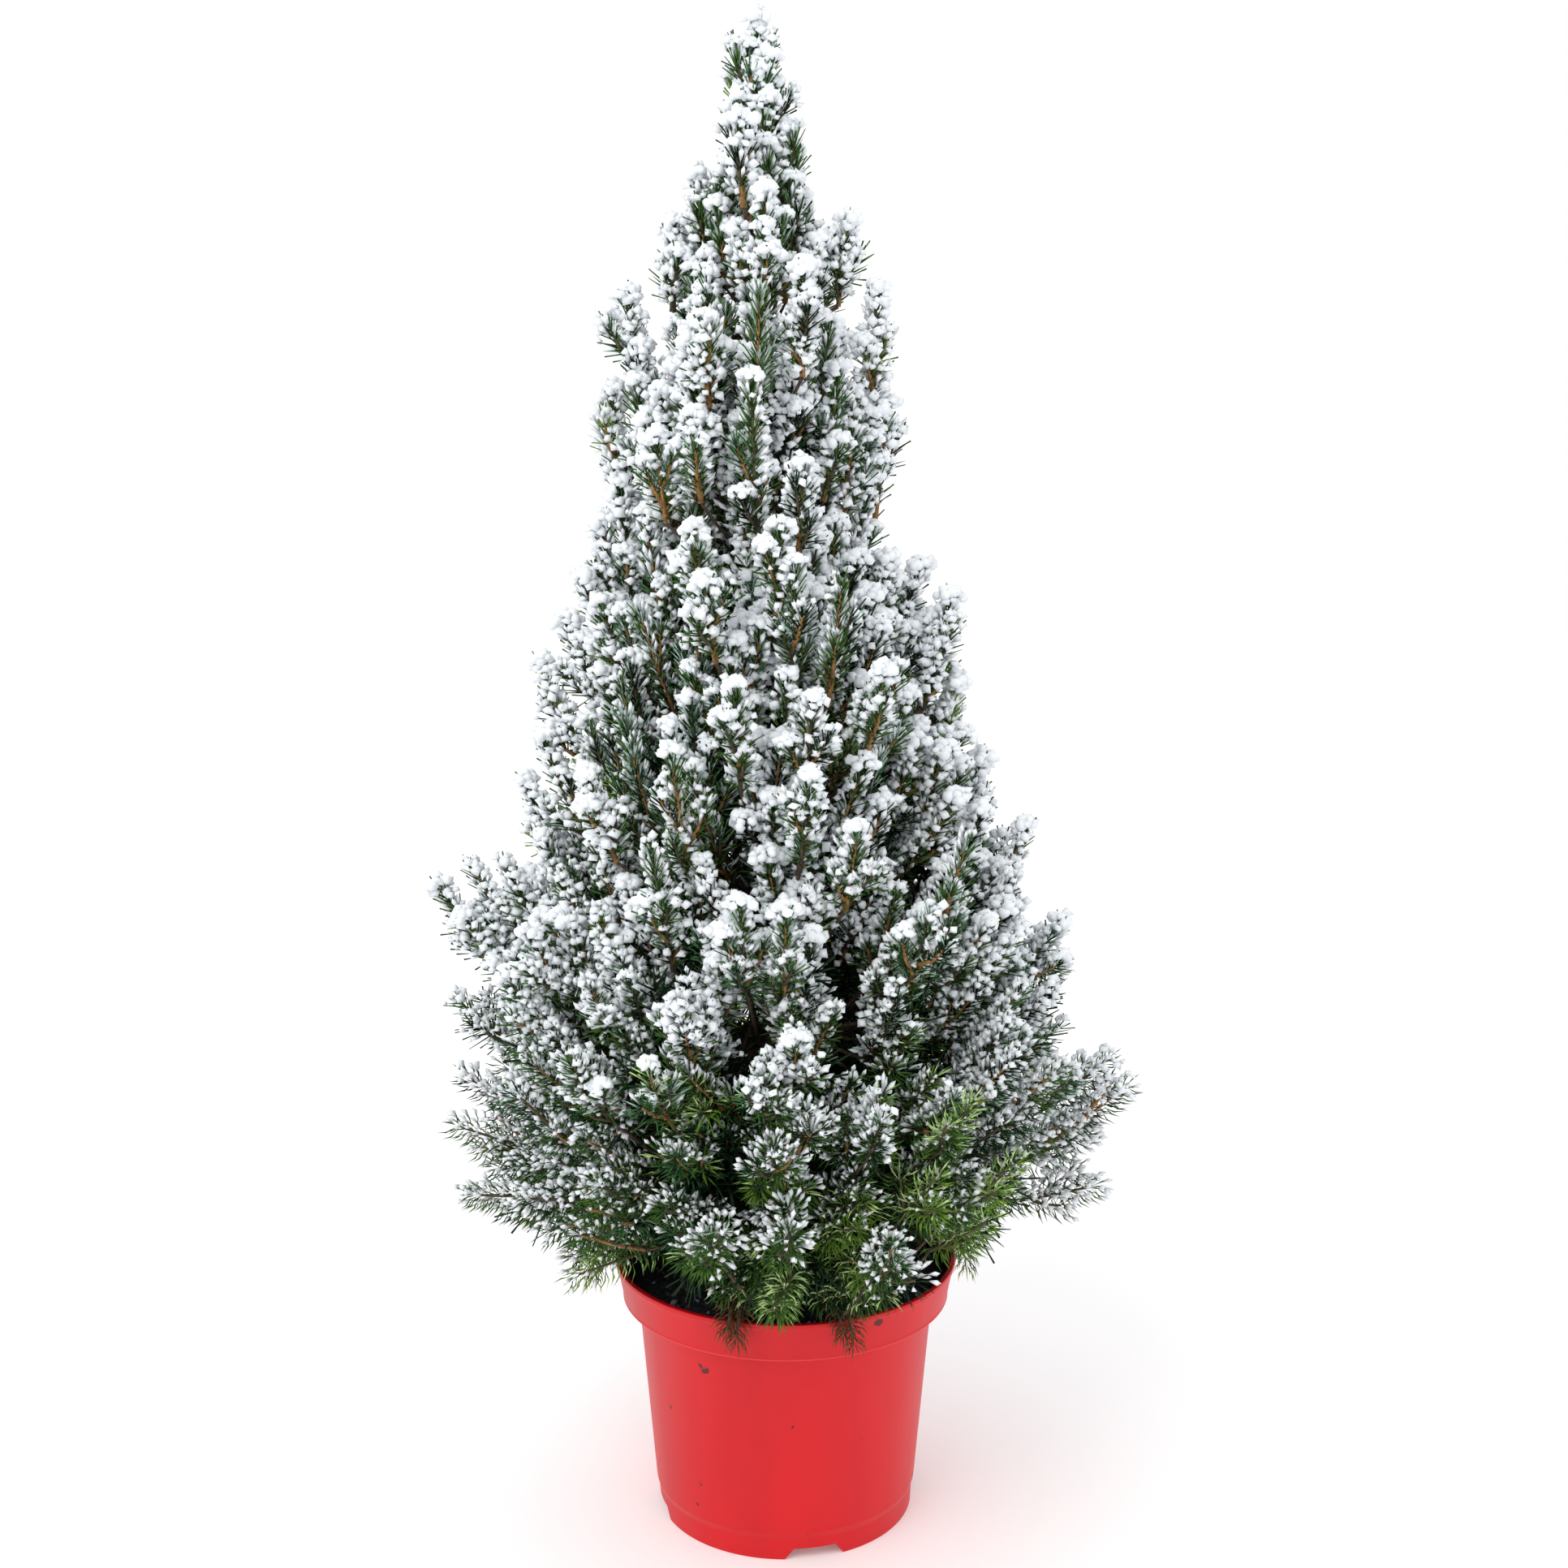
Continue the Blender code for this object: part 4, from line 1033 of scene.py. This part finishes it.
def bark_tube(path, radii, sides, relief, seed):
    """A limb's points and triangles, with plates and cracks that run along it."""
    shapes, triangles = tube_shapes(path[None], radii[None], sides)
    shape = shapes[0]
    lengths = np.concatenate([[0], np.cumsum(np.linalg.norm(np.diff(path, axis=0), axis=1))])
    for i, length in enumerate(lengths):
        for k in range(sides):
            x, y = math.cos(2 * math.pi * k / sides), math.sin(2 * math.pi * k / sides)
            swell = noise.noise(Vector((x * 2.6 + seed, y * 2.6, length * 130)))
            swell += 0.5 * noise.noise(Vector((x * 5 + seed, y * 5, length * 420)))
            number = i * sides + k
            shape[number] += unit(shape[number] - path[i]) * swell * relief
    return shape, np.array(triangles)


def build_bark(finish):
    """One mesh with the bark's relief for the trunk and every bough."""
    heights = TRUNK_FOOT + (TRUNK_TIP - TRUNK_FOOT) * np.linspace(0, 1, BARK_RINGS) ** 1.25
    path = np.stack([lean_at(heights), 0 * heights, heights], axis=1)
    radii = np.array([trunk_radius(height) for height in heights])
    limbs = [bark_tube(path, radii, BARK_SIDES, BARK_RELIEF, 0.0)]
    out = np.linspace(0.0, STEM_SHARE, BOUGH_RINGS)
    taper = np.interp(out, (0, BARE_SHARE, STEM_SHARE), (1, BOUGH_TAPER, BOUGH_TAPER * 0.6))
    for block in all_blocks():
        path = crown_point(np.full(BOUGH_RINGS, block.tier + 0.5), block.turn, out)
        collar = 1 + 0.7 * np.exp(-np.linalg.norm(path - path[0], axis=1) / 0.006)
        radii = lerp(*BOUGH_RADIUS, block.tier / (len(TIERS) - 1)) * taper * collar
        seed = block.tier + block.number * 0.7
        limbs.append(bark_tube(path, radii, BOUGH_SIDES, BARK_RELIEF * 0.4, seed))
    starts = np.cumsum([0] + [len(shape) for shape, _ in limbs])
    triangles = np.concatenate([faces + start for (_, faces), start in zip(limbs, starts)])
    obj = mesh_piece("bark", np.concatenate([shape for shape, _ in limbs]), triangles, finish)
    settle(obj, "bark", "trunk", *nodes_of("bough"))


# Pot and soil


def inner_radius(height):
    """Radius of the pot's inside, below its ledge and in its collar."""
    if height <= COLLAR_FOOT_HEIGHT + WALL:
        share = (height - BASE_STEP_HEIGHT) / (COLLAR_FOOT_HEIGHT - BASE_STEP_HEIGHT)
        return lerp(BODY_FOOT_RADIUS, BODY_TOP_RADIUS, share) - WALL
    share = (height - COLLAR_FOOT_HEIGHT) / (POT_HEIGHT - COLLAR_FOOT_HEIGHT)
    return lerp(COLLAR_FOOT_RADIUS, LIP_RADIUS - 0.001, share) - WALL


def base_step():
    """The soft step from the pot's standing ring to its body."""
    steps = []
    for share in np.linspace(0, 1, 8):
        radius = lerp(BASE_RADIUS + 0.0004, BODY_FOOT_RADIUS, share * share * (3 - 2 * share))
        steps.append((radius, lerp(BASE_STEP_HEIGHT - 0.0045, BASE_STEP_HEIGHT + 0.0010, share)))
    return steps


def pot_profile():
    """From the middle of the underside, out under the standing ring, up, over the lip and back in."""
    ring_inner = BASE_RADIUS - 0.004
    ledge = COLLAR_FOOT_HEIGHT + WALL
    return [
        (0, 0),
        (FOOT_DISC_RADIUS, 0),
        (FOOT_DISC_RADIUS + 0.001, FLOOR_UNDER),
        (ring_inner - 0.001, FLOOR_UNDER),
        (ring_inner, 0),
        (BASE_RADIUS, 0),
        *base_step(),
        (BODY_TOP_RADIUS, COLLAR_FOOT_HEIGHT),
        (COLLAR_FOOT_RADIUS - 0.0002, COLLAR_FOOT_HEIGHT),
        (COLLAR_FOOT_RADIUS + 0.0004, COLLAR_FOOT_HEIGHT + 0.0003),
        (COLLAR_FOOT_RADIUS + 0.0001, COLLAR_FOOT_HEIGHT + 0.0016),
        (LIP_RADIUS - 0.0011, POT_HEIGHT - 0.0034),
        (LIP_RADIUS, POT_HEIGHT - 0.0026),
        (LIP_RADIUS, POT_HEIGHT),
        (inner_radius(POT_HEIGHT), POT_HEIGHT),
        (inner_radius(ledge + 0.001), ledge + 0.001),
        (inner_radius(ledge) - 0.0002, ledge - 0.0005),
        (inner_radius(FLOOR_TOP), FLOOR_TOP),
        (0, FLOOR_TOP),
    ]


def filleted(profile):
    """The profile with each corner rounded."""
    rounded = [profile[0]]
    for before, corner, after in zip(profile, profile[1:], profile[2:]):
        before, corner, after = (np.array(p, float) for p in (before, corner, after))
        size = min(FILLET, 0.45 * np.linalg.norm(corner - before), 0.45 * np.linalg.norm(after - corner))
        start = corner + unit(before - corner) * size
        end = corner + unit(after - corner) * size
        for share in np.linspace(0, 1, FILLET_STEPS + 1):
            rounded.append(tuple(curve(start, corner, end, share)))
    return rounded + [profile[-1]]


def turned(profile, sides):
    """Points and faces of a solid of revolution whose profile starts and ends on the axis."""
    verts, faces = [], []
    for radius, height in profile[1:-1]:
        for k in range(sides):
            angle = 2 * math.pi * k / sides
            verts.append((radius * math.cos(angle), radius * math.sin(angle), height))
    rows = len(profile) - 2
    for i in range(rows - 1):
        for k in range(sides):
            a, b = i * sides + k, i * sides + (k + 1) % sides
            faces.append((a, b, b + sides, a + sides))
    for end, start, flip in ((profile[0], 0, -1), (profile[-1], (rows - 1) * sides, 1)):
        verts.append((0, 0, end[1]))
        for k in range(sides):
            faces.append((start + k, start + (k + 1) % sides, len(verts) - 1)[::flip])
    return verts, faces


def solid_object(name, verts, faces, finish):
    """A new object whose faces all look outwards."""
    obj = mesh_piece(name, verts, faces, finish)
    bm = bmesh.new()
    bm.from_mesh(obj.data)
    bmesh.ops.recalc_face_normals(bm, faces=bm.faces)
    bm.to_mesh(obj.data)
    bm.free()
    return obj


def notch_block(turn):
    """Points and faces of a block that is wider at its foot, across the standing ring."""
    near, far, below = FOOT_DISC_RADIUS + 0.012, BASE_RADIUS + 0.01, -0.005
    widen = (NOTCH_FOOT_WIDTH - NOTCH_TOP_WIDTH) / NOTCH_HEIGHT
    foot, top = NOTCH_FOOT_WIDTH / 2 - widen * below / 2, NOTCH_TOP_WIDTH / 2
    section = ((-foot, below), (foot, below), (top, NOTCH_HEIGHT), (-top, NOTCH_HEIGHT))
    out = np.array((math.cos(math.radians(turn)), math.sin(math.radians(turn)), 0))
    side = np.array((-out[1], out[0], 0))
    verts = [tuple(out * r + side * a + UP * h) for r in (near, far) for a, h in section]
    faces = [(0, 1, 2, 3), (4, 5, 6, 7)] + [(k, (k + 1) % 4, 4 + (k + 1) % 4, 4 + k) for k in range(4)]
    return verts, faces


def hole_cylinder(turn):
    """Points and faces of a drain hole's cylinder through the pot's floor."""
    low, high = FLOOR_UNDER - 0.004, FLOOR_TOP + 0.004
    verts, faces = turned([(0, low), (HOLE_RADIUS, low), (HOLE_RADIUS, high), (0, high)], HOLE_SIDES)
    angle = math.radians(turn)
    x, y = HOLE_CIRCLE * math.cos(angle), HOLE_CIRCLE * math.sin(angle)
    return [(x + a, y + b, height) for a, b, height in verts], faces


def cut(obj, cutters):
    """Takes the cutters out of an object, then removes them."""
    collection = bpy.data.collections.new(obj.name + "_cutters")
    for cutter in cutters:
        collection.objects.link(cutter)
    modifier = obj.modifiers.new("cut", "BOOLEAN")
    modifier.operand_type = "COLLECTION"
    modifier.collection = collection
    graph = bpy.context.evaluated_depsgraph_get()
    obj.data = bpy.data.meshes.new_from_object(obj.evaluated_get(graph))
    obj.modifiers.clear()
    for cutter in cutters:
        bpy.data.objects.remove(cutter)
    bpy.data.collections.remove(collection)


def build_pot(finish):
    pot = solid_object("pot_moulded", *turned(filleted(pot_profile()), POT_SIDES), finish)
    cutters = []
    for k in range(NOTCHES):
        turn = NOTCH_TURN + 360 / NOTCHES * k
        cutters.append(solid_object(f"notch_{k}", *notch_block(turn), finish))
        cutters.append(solid_object(f"hole_{k}", *hole_cylinder(turn + 180 / NOTCHES), finish))
    cut(pot, cutters)
    pot.data.set_sharp_from_angle(angle=math.radians(SHARP_ANGLE))
    settle(pot, "pot_plastic", "pot")


def soil_height(x, y):
    """The soil's uneven top."""
    coarse = noise.noise(Vector((x * 60, y * 60, 0)))
    fine = noise.noise(Vector((x * 260, y * 260, 3))) + 0.6 * noise.noise(Vector((x * 700, y * 700, 5)))
    return SOIL_TOP - 0.0008 + SOIL_RELIEF * (0.45 * coarse + 0.35 * fine)


def build_soil(finish, finishes):
    """The root ball's block with an uneven top, and loose crumbs on it."""
    rng = np.random.default_rng(SEED + 2)
    ledge = COLLAR_FOOT_HEIGHT + WALL + 0.001
    floor = FLOOR_TOP + GAP
    sides = ((floor, floor), (COLLAR_FOOT_HEIGHT, ledge + GAP), (ledge, ledge + 2 * GAP))
    profile = [(0, floor), *((inner_radius(inside) - 2 * GAP, height) for inside, height in sides)]
    first_top = (len(profile) - 1) * SOIL_SIDES
    rim = inner_radius(SOIL_TOP) - 2 * GAP
    profile += [(rim * (1 - k / SOIL_RINGS), SOIL_TOP) for k in range(SOIL_RINGS)] + [(0, SOIL_TOP)]
    verts, faces = turned(profile, SOIL_SIDES)
    tops = [(x, y, soil_height(x, y)) for x, y, _ in verts[first_top:-2] + verts[-1:]]
    verts[first_top:] = [*tops[:-1], verts[-2], tops[-1]]
    settle(solid_object("soil_top", verts, faces, finish), "soil", "soil")
    radius = (rim - 0.002) * np.sqrt(rng.uniform(0.02, 1, CRUMBS))
    angle = rng.uniform(0, 2 * np.pi, CRUMBS)
    x, y = radius * np.cos(angle), radius * np.sin(angle)
    z = np.array([soil_height(a, b) for a, b in zip(x, y)])
    sizes = rng.uniform(*CRUMB_SIZE, CRUMBS) * (1 + 1.2 * (rng.random(CRUMBS) > 0.9))
    centres = np.stack([x, y, z + sizes * 0.3], axis=1)
    dry = rng.random(CRUMBS) < DRY_CRUMBS
    heaps = (("soil_crumbs", "peat_crumbs", ~dry), ("soil_crumbs_dry", "peat_dry", dry))
    for name, peat, chosen in heaps:
        shapes, triangles = lump_shapes(centres[chosen], sizes[chosen], rng, ball(), 0.3)
        add_pieces(name, shapes, triangles, finishes[peat], "soil")


# Materials


class Nodes:
    """Short calls for a material's node tree."""

    def __init__(self, name):
        self.material = bpy.data.materials.new(name)
        self.material.use_nodes = True
        self.tree = self.material.node_tree

    def fill(self, node, values):
        """Sets a node's options (small letters) and sockets (capitals), or links those to other nodes."""
        for key, value in values.items():
            if key[0].islower():
                setattr(node, key, value)
            elif isinstance(value, bpy.types.NodeSocket):
                self.tree.links.new(value, node.inputs[key.replace("_", " ")])
            else:
                node.inputs[key.replace("_", " ")].default_value = value
        return node.outputs

    def add(self, kind, **values):
        return self.fill(self.tree.nodes.new("ShaderNode" + kind), values)

    def set(self, **values):
        self.fill(self.tree.nodes["Principled BSDF"], values)

    def place(self, scale=(1, 1, 1)):
        """Object coordinates, scaled."""
        return self.add("Mapping", Scale=scale, Vector=self.add("TexCoord")["Object"])["Vector"]

    def noise(self, scale, detail=2.0, rough=0.5, stretch=(1, 1, 1)):
        place = self.place(stretch)
        return self.add("TexNoise", Scale=scale, Detail=detail, Roughness=rough, Vector=place)["Fac"]

    def ramp(self, value, *stops):
        """A colour ramp from pairs of place and colour."""
        color = self.add("ValToRGB", Fac=value)["Color"]
        elements = color.node.color_ramp.elements
        while len(elements) < len(stops):
            elements.new(0.5)
        for element, (place, colour) in zip(elements, stops):
            element.position = place
            element.color = (*colour, 1.0)
        return color

    def mixed(self, share, first, second):
        """From a first colour to a second, plain one by a share."""
        return self.add("Mix", data_type="RGBA", Factor=share, A=first, B=(*second, 1.0))["Result"]

    def spread(self, value, low, high):
        """A value from nought to one, spread from low to high."""
        return self.add("MapRange", To_Min=low, To_Max=high, Value=value)["Result"]

    def bump(self, height, strength, distance):
        self.set(Normal=self.add("Bump", Strength=strength, Distance=distance, Height=height)["Normal"])


def shaded(colour, factor):
    return tuple(min(1.0, c * factor) for c in colour)


def mottled(name, grain, stops, fine=None, bump=None, stretch=(1, 1, 1), **values):
    """A material with colour stops over one noise, and a bump from a finer one."""
    nodes = Nodes(name)
    value = nodes.noise(*grain, stretch=stretch)
    nodes.set(Base_Color=nodes.ramp(value, *stops), **values)
    if fine:
        nodes.bump(nodes.noise(*fine, stretch=stretch), *bump)
    return nodes, value


def needle_finish(kind):
    """Waxy needles: one plain colour a spray kind, a little uneven."""
    colour = NEEDLE_COLOURS[kind]
    stops = (0.3, shaded(colour, 0.72)), (0.7, shaded(colour, 1.38))
    nodes, _ = mottled(f"needle_{kind}", (320.0,), stops, (1800.0,), (0.25, 0.0002), Specular_IOR_Level=0.16)
    nodes.set(Roughness=nodes.spread(nodes.noise(500.0), 0.38, 0.55))
    return nodes.material


def snow_finish():
    """Dry sprayed snow with a fine grain."""
    stops = (0.3, shaded(SNOW, 0.95)), (0.7, shaded(SNOW, 1.04))
    bump = (900.0, 4.0, 0.65), (0.6, 0.0006)
    nodes, _ = mottled("snow", (160.0, 3.0), stops, *bump, Roughness=0.9, Specular_IOR_Level=0.25)
    return nodes.material


def twig_finish(name, colour, dark):
    """Bark with pegs where needles stand, or stood."""
    nodes, value = mottled(name, (420.0, 3.0, 0.6), ((0.32, dark), (0.62, colour)))
    nodes.set(Roughness=nodes.spread(value, 0.85, 0.6))
    nodes.bump(nodes.add("TexVoronoi", Scale=700.0, Vector=nodes.place())["Distance"], 0.5, 0.0005)
    return nodes.material


def bark_finish():
    """Grey-brown flaking bark."""
    stops = (0.30, (0.030, 0.018, 0.012)), (0.52, (0.105, 0.062, 0.038)), (0.72, (0.20, 0.145, 0.105))
    bump = (520.0, 4.0, 0.6), (0.6, 0.0008)
    nodes, value = mottled("spruce_bark", (210.0, 5.0, 0.62), stops, *bump, stretch=(1, 1, 0.35))
    nodes.set(Roughness=nodes.spread(value, 0.95, 0.75))
    return nodes.material


def pot_finish():
    """Satin red plastic with faint streaks, a painted highlight in a pale band under the collar, and specks
    of dirt.
    """
    nodes = Nodes("red_plastic")
    cloud = nodes.noise(11.0, 4.0, 0.62, (1, 1, 0.30))
    red = nodes.ramp(cloud, (0.3, shaded(RED, 0.86)), (0.7, shaded(RED, 1.10)))
    # Painted highlight: a thin pale red band at the foot of the collar
    height = nodes.add("SeparateXYZ", Vector=nodes.place())["Z"]
    span = {"From_Min": COLLAR_FOOT_HEIGHT - 0.0004, "From_Max": COLLAR_FOOT_HEIGHT + 0.0012}
    edge = nodes.add("MapRange", Value=height, **span)["Result"]
    black, white = (0, 0, 0), (1, 1, 1)
    red = nodes.mixed(nodes.ramp(edge, (0.0, black), (0.45, white), (1.0, black)), red, COLLAR_HIGHLIGHT_RED)
    specks = nodes.ramp(nodes.noise(95.0, 2.0), (0.245, white), (0.27, black))
    streaks = nodes.noise(60.0, 3.0, 0.6, (1, 1, 0.06))
    nodes.set(Base_Color=nodes.mixed(specks, red, POT_DIRT), Specular_IOR_Level=0.36)
    nodes.set(Roughness=nodes.spread(streaks, 0.34, 0.50))
    nodes.bump(nodes.noise(300.0, 3.0), 0.12, 0.0004)
    return nodes.material


def soil_finish():
    """Dark damp peat, drier and greyer in places."""
    stops = (0.32, (0.010, 0.010, 0.015)), (0.55, (0.036, 0.035, 0.046)), (0.74, (0.110, 0.112, 0.140))
    bump = (900.0, 5.0, 0.7), (0.9, 0.0012)
    nodes, _ = mottled("peat", (380.0, 6.0, 0.7), stops, *bump, Roughness=0.95, Specular_IOR_Level=0.2)
    return nodes.material


def crumb_finish(name, dark, light):
    bump = (1500.0, 3.0, 0.6), (0.6, 0.0004)
    nodes, _ = mottled(name, (700.0, 4.0, 0.7), ((0.35, dark), (0.65, light)), *bump, Roughness=0.95)
    return nodes.material


# Studio


def build_stage():
    """A pale floor, soft white surroundings and a key light from the upper left of the front."""
    nodes = Nodes("floor_white")
    nodes.set(Base_Color=(0.93, 0.93, 0.94, 1), Roughness=0.9)
    nodes.set(Emission_Color=(1, 1, 1, 1), Emission_Strength=FLOOR_GLOW)
    corners = [(x * FLOOR_HALF, y * FLOOR_HALF, 0) for x, y in ((-1, -1), (1, -1), (1, 1), (-1, 1))]
    solid_object("floor", corners, [(0, 1, 2, 3)], nodes.material)
    world = bpy.data.worlds.new("studio")
    bpy.context.scene.world = world
    world.use_nodes = True
    background = world.node_tree.nodes["Background"]
    background.inputs["Color"].default_value = (1, 1, 1, 1)
    background.inputs["Strength"].default_value = WORLD_LIGHT
    light = bpy.data.lights.new("key", "AREA")
    light.shape = "DISK"
    light.size = KEY_SIZE
    light.energy = KEY_POWER
    light.color = KEY_COLOUR
    key = bpy.data.objects.new("key", light)
    key.location = KEY_PLACE
    key.rotation_euler = (KEY_AIM - KEY_PLACE).to_track_quat("-Z", "Y").to_euler()
    bpy.context.scene.collection.objects.link(key)


def build_camera():
    data = bpy.data.cameras.new("camera")
    data.sensor_width = SENSOR
    data.lens = LENS
    data.shift_x = SHIFT_X
    camera = bpy.data.objects.new("camera", data)
    camera.location = CAMERA_PLACE
    camera.rotation_euler = (math.radians(CAMERA_TILT), 0, 0)
    bpy.context.scene.collection.objects.link(camera)
    bpy.context.scene.camera = camera
    bpy.context.scene.view_settings.view_transform = "Standard"


def build():
    finishes = {kind: needle_finish(kind) for kind in KINDS}
    finishes["snow"] = snow_finish()
    for name, colours in TWIG_COLOURS.items():
        finishes[name] = twig_finish(name, *colours)
    for name, colours in CRUMB_COLOURS.items():
        finishes[name] = crumb_finish(name, *colours)
    build_pot(pot_finish())
    build_soil(soil_finish(), finishes)
    build_bark(bark_finish())
    growth = grow()
    sprays = build_crown(growth, finishes)
    build_twigs(growth, sprays, finishes)
    build_stage()
    build_camera()


build()
